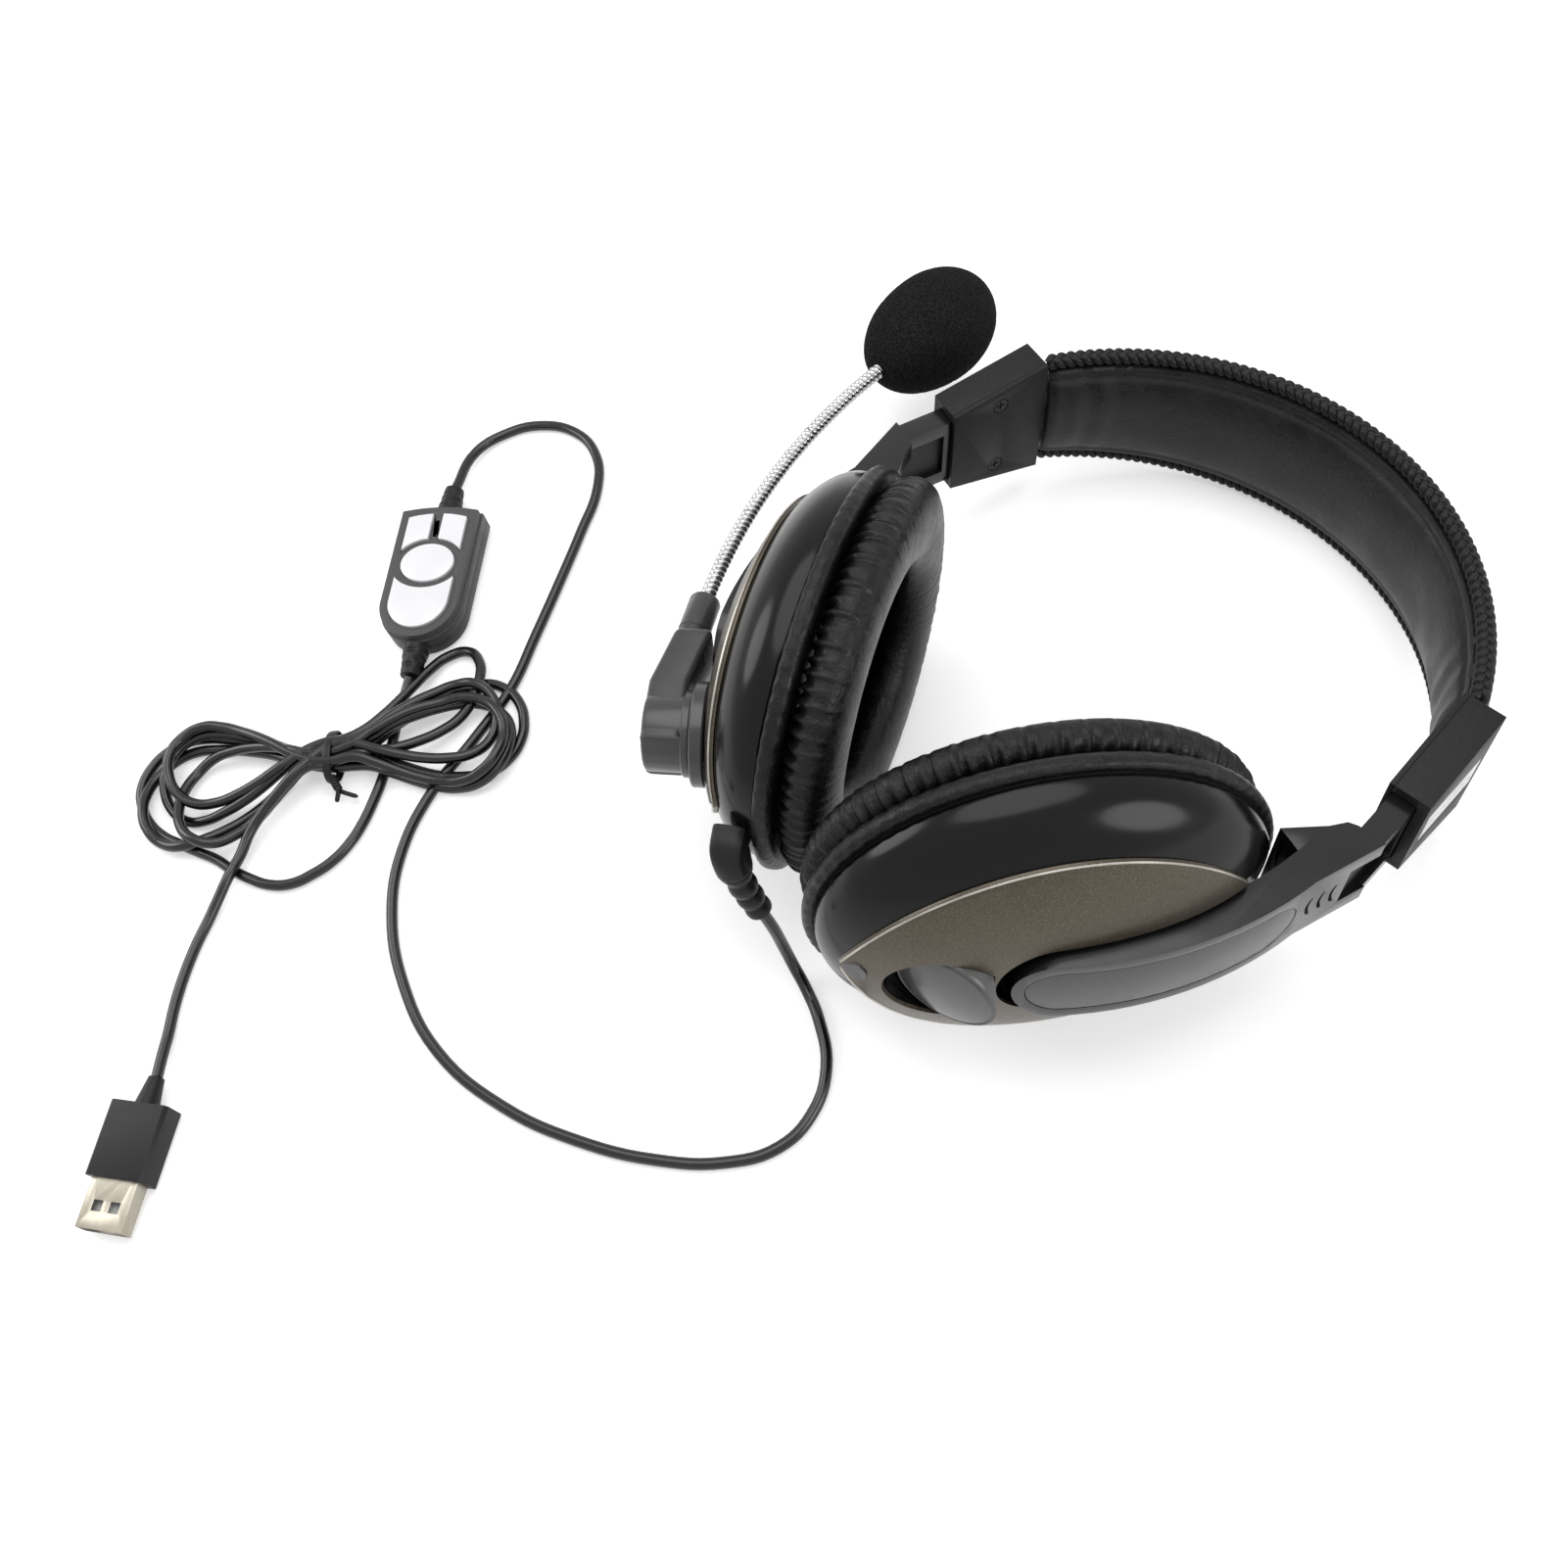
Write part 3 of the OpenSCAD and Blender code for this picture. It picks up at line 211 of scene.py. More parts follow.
def refined(node, finish, edge=0.4, steps=2, angle=25.0, sharp=35.0):
    # a copy of a CAD node with its mesh cleaned and its edges rounded
    source = frame["nodes"][node]
    corners = np.empty(len(source.data.vertices) * 3)
    source.data.vertices.foreach_get("co", corners)
    mesh = bpy.data.meshes.new(node + "_made")
    mesh.from_pydata(corners.reshape(-1, 3).tolist(), [],
                     [list(face.vertices) for face in source.data.polygons])
    weld(mesh, near=0.004, flat=2.0)
    smoothOver(mesh, sharp)
    piece = linked(node + "_made", mesh)
    if edge:
        rounding = piece.modifiers.new("rounding", "BEVEL")
        rounding.width = edge * mm
        rounding.segments = steps
        rounding.limit_method = "ANGLE"
        rounding.angle_limit = math.radians(angle)
        rounding.miter_outer = "MITER_ARC"
        settle(piece)
        smoothOver(piece.data, sharp)
    return declare(piece, finish, source["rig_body"], (node,))


def combine(piece, other, operation="DIFFERENCE", sharp=35.0):
    work = piece.modifiers.new("work", "BOOLEAN")
    work.operation, work.solver, work.object = operation, "EXACT", other
    settle(piece)
    bpy.data.objects.remove(other)
    smoothOver(piece.data, sharp)


def carve(piece, surface):
    combine(piece, solid("cutter", surface))


def ringSweep(path, across, over, sections):
    # sections[i, j] = (along across, along over) about path[i]
    return (path[:, None] + sections[..., :1] * across[:, None]
            + sections[..., 1:] * over[:, None])


def axesAlong(path, up):
    # unit vectors ahead, across and over at each point of the path
    ahead = np.gradient(path, axis=0)
    ahead /= np.linalg.norm(ahead, axis=1, keepdims=True)
    across = np.cross(np.broadcast_to(np.asarray(up, float), ahead.shape), ahead)
    across /= np.linalg.norm(across, axis=1, keepdims=True)
    return ahead, across, np.cross(ahead, across)


def roundTube(path, radii, up=(0, 0, 1), sides=16):
    # radii[i] or radii[i, j], j round the tube
    ahead, across, over = axesAlong(path, up)
    t = around(sides)
    r = np.asarray(radii, float)
    r = np.broadcast_to(r[:, None] if r.ndim == 1 else r, (len(path), sides))
    return closedTube(ringSweep(path, across, over, stack(r * np.cos(t), r * np.sin(t))))


def spun(profile, sides):
    # a profile of (radius, height), turned about z
    r, z = np.asarray(profile, float).T[..., None]
    t = around(sides)
    return stack(r * np.cos(t), r * np.sin(t), z)


def lathe(profile, sides=96):
    return closedTube(spun(profile, sides))


def through(points, step):
    # an even Catmull-Rom line through the points
    p = np.asarray(points, float)
    padded = np.concatenate([[2 * p[0] - p[1]], p, [2 * p[-1] - p[-2]]])
    t = np.linspace(0, 1, 24, endpoint=False)[:, None]
    line = [0.5 * (2 * b + (c - a) * t + (2 * a - 5 * b + 4 * c - d) * t ** 2
                   + (3 * b - a - 3 * c + d) * t ** 3)
            for a, b, c, d in zip(padded, padded[1:], padded[2:], padded[3:])]
    line = np.concatenate([*line, p[-1:]])
    run = np.concatenate([[0], np.cumsum(np.linalg.norm(np.diff(line, axis=0), axis=1))])
    at = np.linspace(0, run[-1], max(2, int(round(run[-1] / step)) + 1))
    return np.stack([np.interp(at, run, line[:, k]) for k in range(p.shape[1])], -1)


# finishes: every number that varies over a surface is a Field
class Field:
    def __init__(self, finish, socket):
        self.finish, self.socket = finish, socket

    def __add__(self, other):
        return self.finish.maths("ADD", self, other)

    def __sub__(self, other):
        return self.finish.maths("SUBTRACT", self, other)

    def __rsub__(self, other):
        return self.finish.maths("SUBTRACT", other, self)

    def __mul__(self, other):
        return self.finish.maths("MULTIPLY", self, other)

    __radd__ = __add__
    __rmul__ = __mul__


class Nodes:
    def __init__(self, tree):
        self.tree = tree

    def node(self, kind, inputs=None, out=0, **settings):
        made = self.tree.nodes.new(kind)
        for key, value in settings.items():
            setattr(made, key, value)
        for key, value in (inputs or {}).items():
            if isinstance(value, Field):
                self.tree.links.new(value.socket, made.inputs[key])
            else:
                made.inputs[key].default_value = value
        return Field(self, made.outputs[out]) if made.outputs else None

    def maths(self, operation, a, b=0.0):
        return self.node("ShaderNodeMath", {0: a, 1: b}, operation=operation)


class Finish(Nodes):
    def __init__(self, name, **constants):
        self.material = bpy.data.materials.new(name)
        self.material.use_nodes = True
        super().__init__(self.material.node_tree)
        self.shader = self.tree.nodes["Principled BSDF"]
        for socket, value in constants.items():
            self.shader.inputs[socket.replace("_", " ")].default_value = value
        self.where = self.node("ShaderNodeTexCoord", out="Object")

    def noise(self, size, detail=2.0, roughness=0.5, distortion=0.0, at=None):
        # size is the width of one blotch in millimetres
        return self.node("ShaderNodeTexNoise",
                         {"Vector": at or self.where, "Scale": 1 / (size * mm),
                          "Detail": detail, "Roughness": roughness,
                          "Distortion": distortion})

    def cells(self, size, feature="F1", out="Distance", jitter=1.0):
        return self.node("ShaderNodeTexVoronoi",
                         {"Vector": self.where, "Scale": 1 / (size * mm),
                          "Randomness": jitter}, out=out, feature=feature)

    def between(self, value, low, high, start=0.0, end=1.0):
        return self.node("ShaderNodeMapRange",
                         {0: value, 1: low, 2: high, 3: start, 4: end},
                         interpolation_type="SMOOTHSTEP")

    def mixed(self, share, a, b):
        return self.node("ShaderNodeMix", {0: share, 6: a, 7: b}, out=2, data_type="RGBA")

    def bump(self, height, depth, strength=1.0, over=None):
        # depth in millimetres for a height of one
        inputs = {"Height": height, "Distance": depth * mm, "Strength": strength}
        if over:
            inputs["Normal"] = over
        return self.node("ShaderNodeBump", inputs)

    def give(self, **fields):
        for socket, field in fields.items():
            self.tree.links.new(field.socket, self.shader.inputs[socket.replace("_", " ")])
        return self


def grey(value, warm=0.0):
    return (value * (1 + warm), value, value * (1 - warm), 1.0)


def leatherette(name, dark, pale, gloss, grain, creases, level=0.2):
    # coated cloth: fine pebble grain, faint creases, the grain's high places a little paler
    f = Finish(name, IOR=1.5, Specular_IOR_Level=level)
    pebble = f.between(f.cells(grain, feature="DISTANCE_TO_EDGE"), 0.02, 0.32)
    fine = f.noise(grain * 0.45, detail=3.0)
    broad = f.noise(9.0, detail=4.0, roughness=0.6)
    crease = f.noise(5.0, detail=5.0, roughness=0.65, distortion=1.2)
    line = f.between(f.maths("ABSOLUTE", crease - 0.5) * 10.0, 0.0, 0.7)
    # pebble makes the grain's high places paler and its hollows darker; broad is a random tone
    tone = broad * 0.6 + pebble * 0.3
    color = f.mixed(f.between(tone, 0.25, 0.75), grey(dark), grey(pale, 0.02))
    rough = f.between(broad, 0.3, 0.7, gloss - 0.05, gloss + 0.07) + fine * 0.05
    normal = f.bump(line, creases, 0.6)
    normal = f.bump(pebble * 0.6 + fine * 0.5, 0.022 * grain, 0.8, over=normal)
    return f.give(Base_Color=color, Roughness=rough, Normal=normal)


def glossPlastic(name, dark, gloss, smear, level):
    # polished moulded plastic: dust specks, wiping haze and a very slight flow waviness
    f = Finish(name, IOR=1.5, Specular_IOR_Level=level)
    haze = f.noise(14.0, detail=4.0, roughness=0.6)
    wave = f.noise(22.0, detail=1.0)
    dust = f.between(f.cells(2.6), 0.05, 0.025) * f.between(f.noise(5.0), 0.52, 0.6)
    color = f.mixed(dust * 0.5, grey(dark), grey(0.16, 0.03))
    rough = f.between(haze, 0.35, 0.75, gloss, gloss + smear) + dust * 0.3
    return f.give(Base_Color=color, Roughness=rough, Normal=f.bump(wave, 0.03, 0.25))


def sparkPlastic(name, dark, pale, rough, grain=0.35, depth=0.02):
    # spark-eroded moulding: a fine even pebble, edges and touched places a little shinier
    f = Finish(name, IOR=1.48, Specular_IOR_Level=0.16)
    spark = f.noise(grain, detail=3.0, roughness=0.6)
    blotch = f.noise(12.0, detail=3.0, roughness=0.55)
    fleck = f.between(f.noise(grain * 1.6, detail=1.0), 0.55, 0.75)
    color = f.mixed(fleck * 0.5 + blotch * 0.3, grey(dark), grey(pale, -0.015))
    roughness = f.between(blotch, 0.3, 0.7, rough - 0.05, rough + 0.06)
    return f.give(Base_Color=color, Roughness=roughness, Normal=f.bump(spark, depth, 0.9))


def satinPlastic(name, dark, pale, rough, level=0.25):
    # moulded plastic with soft clouds, and scuffs drawn out along y
    f = Finish(name, IOR=1.5, Specular_IOR_Level=level)
    cloud = f.noise(16.0, detail=4.0, roughness=0.6)
    drawn = f.node("ShaderNodeVectorMath", {0: f.where, 1: (1.0, 0.15, 1.0)},
                   operation="MULTIPLY")
    scuff = f.between(f.noise(1.0, detail=4.0, roughness=0.7, at=drawn), 0.62, 0.78)
    wave = f.noise(18.0, detail=1.5)
    color = f.mixed(cloud * 0.7 + scuff * 0.12, grey(dark), grey(pale, -0.01))
    roughness = f.between(cloud, 0.3, 0.7, rough - 0.04, rough + 0.05) + scuff * 0.05
    return f.give(Base_Color=color, Roughness=roughness,
                  Normal=f.bump(wave + scuff * 0.05, 0.04, 0.3))


def metal(name, color, worn, rough, depth=0.006):
    # fine grain and darker stains
    f = Finish(name, Metallic=1.0)
    line = f.noise(0.5, detail=3.0, roughness=0.7)
    stain = f.noise(6.0, detail=4.0, roughness=0.6)
    tint = f.mixed(f.between(stain, 0.35, 0.7), color, worn)
    roughness = f.between(line + stain * 0.3, 0.4, 0.9, rough - 0.06, rough + 0.1)
    return f.give(Base_Color=tint, Roughness=roughness, Normal=f.bump(line, depth, 0.5))


def gunmetalPaint(name):
    # bronze-grey metallic lacquer: aluminium flakes under a thin clear coat
    f = Finish(name, IOR=1.5, Coat_Weight=0.12)
    f.shader.inputs["Coat Roughness"].default_value = 0.12
    glint = f.between(f.cells(0.5), 0.24, 0.1)
    cloud = f.noise(20.0, detail=3.0)
    value = f.node("ShaderNodeSeparateColor", {0: f.cells(0.22, out="Color")})
    tone = f.mixed(value * 0.6 + cloud * 0.25, (0.050, 0.041, 0.029, 1), (0.108, 0.091, 0.068, 1))
    tone = f.mixed(glint * 0.35, tone, (0.34, 0.31, 0.26, 1))
    rough = f.between(value, 0.0, 1.0, 0.34, 0.48)
    metallic = f.between(cloud, 0.0, 1.0, 0.80, 0.86)
    return f.give(Base_Color=tone, Roughness=rough, Metallic=metallic,
                  Normal=f.bump(value, 0.004, 0.35))


def foamFinish(name):
    # open-cell foam: a felt of pits between cell walls, the pits painted darker as shade and the
    # walls paler
    f = Finish(name, IOR=1.4, Specular_IOR_Level=0.05)
    fine = f.noise(0.3, detail=3.0, roughness=0.7)
    soft = f.noise(3.0, detail=3.0)
    cell = f.between(f.cells(0.55), 0.15, 0.75)
    # cell paints the pits dark as shade and the walls pale; it also gives their height in the bump
    color = f.mixed(cell * 0.7 + fine * 0.3, grey(0.0035), grey(0.020))
    return f.give(Base_Color=color, Roughness=f.between(fine, 0.2, 0.8, 0.86, 0.98),
                  Normal=f.bump(cell * 0.8 + fine * 0.4, 0.14, 1.0, over=f.bump(soft, 0.2, 0.4)))


def knitFinish(name):
    # speaker cloth: rows of loops, the hollows between them painted dark as shade
    f = Finish(name, Specular_IOR_Level=0.1)
    yarn = f.noise(0.25, detail=3.0)
    hollow = f.between(f.cells(0.7, jitter=0.35), 0.1, 0.55)
    # hollow paints the low places between the loops dark as shade; it also sinks them in the bump
    color = f.mixed(hollow, grey(0.020), grey(0.004))
    return f.give(Base_Color=color, Roughness=f.between(yarn, 0.2, 0.8, 0.8, 0.95),
                  Normal=f.bump(hollow * -1.0 + yarn * 0.3, 0.12, 1.0))


def cordSkin(name):
    # soft moulded jacket: satin, with faint drag marks and dust
    f = Finish(name, IOR=1.5, Specular_IOR_Level=0.5)
    drag = f.noise(1.5, detail=4.0, roughness=0.65)
    dust = f.between(f.noise(0.8, detail=2.0), 0.66, 0.78)
    color = f.mixed(drag * 0.5 + dust * 0.3, grey(0.0020), grey(0.0075))
    rough = f.between(drag, 0.3, 0.7, 0.20, 0.28)
    return f.give(Base_Color=color, Roughness=rough + dust * 0.2, Normal=f.bump(drag, 0.02, 0.4))


def keyFinish(name):
    # silver-white painted key tops
    f = Finish(name, IOR=1.5, Specular_IOR_Level=0.5)
    pearl = f.noise(0.25, detail=2.0)
    cloud = f.noise(7.0, detail=3.0)
    color = f.mixed(cloud * 0.6 + pearl * 0.4, (0.74, 0.74, 0.76, 1), (0.83, 0.83, 0.85, 1))
    return f.give(Base_Color=color, Roughness=f.between(pearl, 0.2, 0.8, 0.24, 0.36),
                  Metallic=f.between(cloud, 0.0, 1.0, 0.02, 0.08))


skin = leatherette("padLeatherette", 0.008, 0.017, 0.38, 0.75, 0.05, 0.25)
cushionSkin = leatherette("cushionLeatherette", 0.003, 0.009, 0.33, 0.7, 0.08, 0.22)
braidSkin = leatherette("braidLeatherette", 0.006, 0.014, 0.36, 0.5, 0.03)
gloss = glossPlastic("pianoBlack", 0.002, 0.16, 0.05, 0.22)
capGloss = glossPlastic("capGrey", 0.085, 0.2, 0.06, 0.4)
gunmetal = gunmetalPaint("gunmetalLacquer")
edgeSilver = metal("edgeSilver", (0.42, 0.40, 0.36, 1), (0.32, 0.30, 0.27, 1), 0.3)
bracketPlastic = sparkPlastic("bracketPlastic", 0.011, 0.026, 0.46)
remotePlastic = sparkPlastic("remotePlastic", 0.075, 0.115, 0.42, 0.3, 0.012)
bootPlastic = satinPlastic("bootPlastic", 0.008, 0.018, 0.42, 0.22)
armPlastic = satinPlastic("armPlastic", 0.005, 0.011, 0.2, 0.4)
panelPlastic = satinPlastic("panelPlastic", 0.022, 0.034, 0.28, 0.45)
hubPlastic = satinPlastic("hubPlastic", 0.036, 0.056, 0.24, 0.45)
darkPlastic = satinPlastic("darkPlastic", 0.008, 0.018, 0.5)
linerNylon = satinPlastic("linerNylon", 0.42, 0.52, 0.5)
foam = foamFinish("micFoam")
knit = knitFinish("earKnit")
jacket = cordSkin("cordJacket")
keyWhite = keyFinish("keySilver")
spiralChrome = metal("spiralChrome", (0.50, 0.50, 0.51, 1), (0.40, 0.40, 0.41, 1), 0.16)
screwSteel = metal("screwSteel", (0.012, 0.012, 0.013, 1), (0.03, 0.03, 0.032, 1), 0.35)
springSteel = metal("springSteel", (0.55, 0.55, 0.56, 1), (0.42, 0.42, 0.42, 1), 0.3)
nickel = metal("plugNickel", (0.42, 0.39, 0.33, 1), (0.36, 0.33, 0.27, 1), 0.38,
               depth=0.0015)
plugWhite = satinPlastic("plugWhite", 0.66, 0.74, 0.45)
tiePlastic = satinPlastic("tiePlastic", 0.006, 0.014, 0.4)
inlayChrome = metal("inlaySilver", (0.60, 0.60, 0.61, 1), (0.5, 0.5, 0.5, 1), 0.3)
coneFilm = satinPlastic("coneFilm", 0.20, 0.28, 0.35)
boardGreen = Finish("boardGreen", Roughness=0.4)
boardGreen.give(Base_Color=boardGreen.mixed(boardGreen.noise(2.0, detail=3.0),
                                            (0.01, 0.08, 0.03, 1), (0.02, 0.13, 0.05, 1)))
print("headset: finishes made")

# places, with the sizes of the CAD
origin = (22.0361, -45.6339, 42.8244)
rest = shift(*origin) @ turn("X", -10.2922)
table = shift(origin[0], origin[1], 0.0)
cup = {"a": 46.5, "b": 40.0, "h": 19.0, "edge": 5.0, "ball": (53.5, 50.5), "toe": (28.5, 33.0),
       "ballY": -6.5, "ballN": 22.0, "capU": 26.0, "hubTilt": 14.791}
bracketAt = (71.5, 69.0, 9)   # x, y and the lean in degrees
sides = {"r": 1, "l": -1}
cupBody = {"r": "plain_cup", "l": "mic_cup"}


def mirrorFor(side):
    return np.diag([float(sides[side]), 1.0, 1.0, 1.0])


def domeHeight(u, v, grow=0.0):
    # half an ellipsoid on an upright lip
    inside = 1 - (u / (cup["a"] + grow)) ** 2 - (v / (cup["b"] + grow)) ** 2
    return cup["edge"] + (cup["h"] + grow) * np.sqrt(np.clip(inside, 0, None))


def cupPlace(side):
    k = 0 if side == "r" else 1
    return (rest @ mirrorFor(side) @ shift(cup["ball"][k], cup["ballY"], 0)
            @ turn("Z", -cup["toe"][k]) @ turn("Z", 90) @ turn("X", 90)
            @ shift(0, 0, -cup["ballN"]))


def domePlace(side):
    top = float(domeHeight(cup["capU"], 0.0))
    return cupPlace(side) @ shift(-cup["capU"], 0, top) @ turn("Y", -cup["hubTilt"])


def bracketPlace(side):
    x, y, lean = bracketAt
    return rest @ mirrorFor(side) @ shift(x, y, 0) @ turn("Z", lean)


# cords, which lie on the table; their points are part.scad's
cordWide = 2.8
cordLow = cordWide / 2 + 0.05
mainRoute = [   # where a point has no height, the cord lies on the table
    (-4.785, -41.741, 27.536), (-3, -41.3, 19.8), (-1.6, -41.3, 11), (0.8, -41.7, 4.8),
    (6, -42.7, 1.7), (14, -45.2), (24, -51), (30, -60), (31, -70), (26, -81), (15, -93),
    (0, -104), (-18, -113), (-40, -118), (-60, -115.5), (-78, -108), (-91, -97), (-100, -82),
    (-105, -66), (-111, -50), (-120, -36), (-130, -21), (-139, -8), (-148, 4), (-158, 10.5),
    (-169, 11), (-179, 5), (-184, -4), (-184, -14, 2.4), (-174.821, -26.376, 4.65)]
tailRoute = [(-122, -123), (-116, -133), (-107, -149), (-97, -161), (-88, -168.5),
             (-79.576, -174.648)]


def cordCurve(name, points, finish):
    line = bpy.data.curves.new(name, "CURVE")
    line.dimensions = "3D"
    line.resolution_u = 6
    line.bevel_depth = cordWide / 2 * mm
    line.bevel_resolution = 5
    line.use_fill_caps = True
    spline = line.splines.new("BEZIER")
    spline.bezier_points.add(len(points) - 1)
    for knot, point in zip(spline.bezier_points, points):
        knot.co = Vector(point) * mm
        knot.handle_left_type = knot.handle_right_type = "AUTO"
    line.materials.append(finish.material)
    return linked(name, line)


def runLength(points):
    return float(np.linalg.norm(np.diff(points, axis=0), axis=1).sum())


mainPath = put([point if len(point) == 3 else (*point, cordLow) for point in mainRoute], table)
mainCord = cordCurve("cordMain", mainPath, jacket)
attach(mainCord, "mic_cup")
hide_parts("cord_main")

# the hank: lobes of one cord to the right (+) and left (-) of the tie, then the tail
# each lobe is (reach, half width, turned by degrees, way round); part.scad has not the last two
hankSettings = {"tie": (-124.5, -96.5), "axis": 58.4, "slope": 0.20,
                "first": [(16.5, 12.8), (13.9, 1.4), (11, -9), (5.2, -21.3), (-2.4, -28.9),
                          (-14, -32.6), (-24.7, -28.1), (-33, -21.5), (-42, -16),
                          (-51, -9), (-55.3, 2), (-51, 11.5), (-40.9, 15.5),
                          (-26.8, 12.1), (-12, 5)],
                "lobes": [(50, 13.5, 4, 1), (-53, 14.5, 5, 1), (47, 12.0, -4, -1),
                          (-48, 12.5, -4, -1), (45, 9.2, 33, 1), (-43, 13.0, 12, 1),
                          (44, 10.5, 8, 1), (-46, 11.0, -9, 1), (46, 11.5, -4, -1)],
                "offsets": [0.0, 2.9, -2.9, 0.2, 2.7, -2.7, -0.2, 2.9, -2.9, 1.5],
                "start": (-131.1, -68.6), "ahead": (0.7193, -0.6947), "step": 1.2,
                "turnOff": (-10.0, -5.5), "clear": 8, "touch": 0.98, "highest": 8.2,
                "ends": (4.65, 3.85), "endRuns": (12, 14)}
hankAxis = math.radians(hankSettings["axis"])


def lobeLine(reach, half, turned, way, first, last):
    # a loop out from the tie and back
    along = np.array([0.16, 0.36, 0.58, 0.80, 0.95, 1.0, 0.95, 0.80, 0.58, 0.36, 0.16])
    aside = np.array([0.10, 0.52, 0.88, 1.00, 0.62, 0.0, -0.62, -1.00, -0.88, -0.52, -0.10])
    wide = half * way * (1 if reach > 0 else -1) * aside
    a = math.radians(turned)
    x = reach * along
    lean = np.interp(along, [0, 0.5, 1], [0, 0.6, 1])
    share = np.linspace(first, last, len(along)) * (1 - np.sqrt(along))
    return stack(x * np.cos(a * lean) - wide * np.sin(a * lean),
                 x * np.sin(a * lean) + wide * np.cos(a * lean) + share)


def hankLine():
    h = hankSettings
    out = np.array([[math.cos(hankAxis), math.sin(hankAxis)],
                    [-math.sin(hankAxis), math.cos(hankAxis)]])
    tie, start, ahead = (np.array(h[key]) for key in ("tie", "start", "ahead"))
    offsets = h["offsets"]
    parts = [(np.stack([start, start + 4 * ahead]) - tie) @ out.T, h["first"],
             [(0.0, offsets[0])]]
    for lobe, here, after in zip(h["lobes"], offsets, offsets[1:]):
        parts += [lobeLine(*lobe, here, after), [(0.0, after)]]
    tail = (np.array(tailRoute) - tie) @ out.T
    flat = np.concatenate([np.asarray(p, float) for p in parts + [[h["turnOff"]], tail]])
    flat = through(flat, h["step"])
    # each bit of cord rests on what already lies under it, and a stiff cord bridges gently
    n = len(flat)
    run = np.arange(n) * h["step"]
    height = np.full(n, cordLow)
    for i in range(n):
        near = slice(0, max(0, i - h["clear"]))
        gap = np.linalg.norm(flat[near] - flat[i], axis=1)
        over = gap < cordWide * h["touch"]
        if over.any():
            lift = height[near][over] + np.sqrt(cordWide ** 2 - gap[over] ** 2)
            height[i] = max(cordLow, lift.max())
    height = np.minimum(height, h["highest"])
    rise = (height[None] - h["slope"] * np.abs(run[:, None] - run[None])).max(1)
    weights = np.exp(-np.linspace(-2, 2, 9) ** 2)
    height = np.maximum(cordLow, np.convolve(np.pad(rise, 4, "edge"), weights / weights.sum(),
                                             "valid"))
    first, last = h["endRuns"]
    ends = np.clip(run / first, 0, 1) * np.clip((run[-1] - run) / last, 0, 1)
    endHeight = np.where(run < run[-1] / 2, *h["ends"])
    height = height * ends + endHeight * (1 - ends)
    return np.concatenate([flat @ out + tie, height[:, None]], 1)


hankDense = put(hankLine(), table)
knots = np.unique(np.append(np.arange(0, len(hankDense), 5), len(hankDense) - 1))
hankPath = hankDense[knots]
hankCord = cordCurve("cordHank", hankPath, jacket)
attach(hankCord, "mic_cup")
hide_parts("cord_hank", "cord_tail")
print("headset: cords", round(runLength(through(mainPath, 1.0))), round(runLength(hankDense)))


# plain sections and turned shapes that several pieces share
def roundBox(halfX, halfY, radius, steps=5):
    # a rectangle with quarter-circle corners, as points in order round it
    t = np.linspace(0, np.pi / 2, steps)
    quarter = stack(np.cos(t), np.sin(t)) * radius
    spin = [(1, 0), (0, 1), (-1, 0), (0, -1)]
    signs = [(1, 1), (-1, 1), (-1, -1), (1, -1)]
    return np.concatenate([
        stack(quarter[:, 0] * c - quarter[:, 1] * s + sx * (halfX - radius),
              quarter[:, 0] * s + quarter[:, 1] * c + sy * (halfY - radius))
        for (c, s), (sx, sy) in zip(spin, signs)])


def ringLathe(profile, sides=96):
    return closedRing(spun(profile, sides))


def placed(surface, place):
    return put(surface[0], place), surface[1]


def boxSurface(x0, x1, y0, y1, z0, z1):
    corners = np.array([[x, y, z] for z in (z0, z1)
                        for x, y in ((x0, y0), (x1, y0), (x1, y1), (x0, y1))], float)
    return closedTube(corners.reshape(2, 4, 3))


def waves(where, seed, count=7, low=1.0, high=3.0):
    # a smooth random field: a sum of sines in seeded directions, about -1 to 1
    rng = np.random.default_rng(seed)
    where = np.asarray(where, float)
    total = np.zeros(where.shape[:-1])
    for _ in range(count):
        way = rng.normal(size=where.shape[-1])
        way *= rng.uniform(low, high) / np.linalg.norm(way)
        total += np.sin(where @ way + rng.uniform(0, 2 * np.pi))
    return total / np.sqrt(count)


def dress(finish, *nodes):
    for node in nodes:
        piece = frame["nodes"][node]
        if not piece.material_slots:
            piece.data.materials.append(finish.material)
        for held in piece.material_slots:
            held.material = finish.material


# ear cups: a hollow dome with a pocket for the arm, a lacquered plate and its bright edge
cupSettings = {"wall": 1.8, "lip": 3.3, "slotHalf": 11.8, "slotEnd": -1.9, "slotRound": 1.2,
               "slotFar": 60, "plateLow": 0.15, "plateHigh": 1.05, "plateReach": 42.9,
               "plateRadius": 45.1, "plateSunk": 13.6, "lineReach": 42.6, "lineRadius": 0.3,
               "capHole": 11.75, "tip": {"reach": (-42.4, -38.2), "middle": -40.1, "half": 3.3,
                                         "bow": 2.35, "low": 0.9, "high": 1.45},
               "collar": [(4.05, 0.3), (11.2, 0.3), (11.6, 0.7), (11.6, 3.05), (11.2, 3.45),
                          (4.05, 3.45)],
               "floor": [(-16, 12.4), (-10, 14.2), (-3, 15.8), (18, 15.8), (36, 10.6), (60, -1)]}


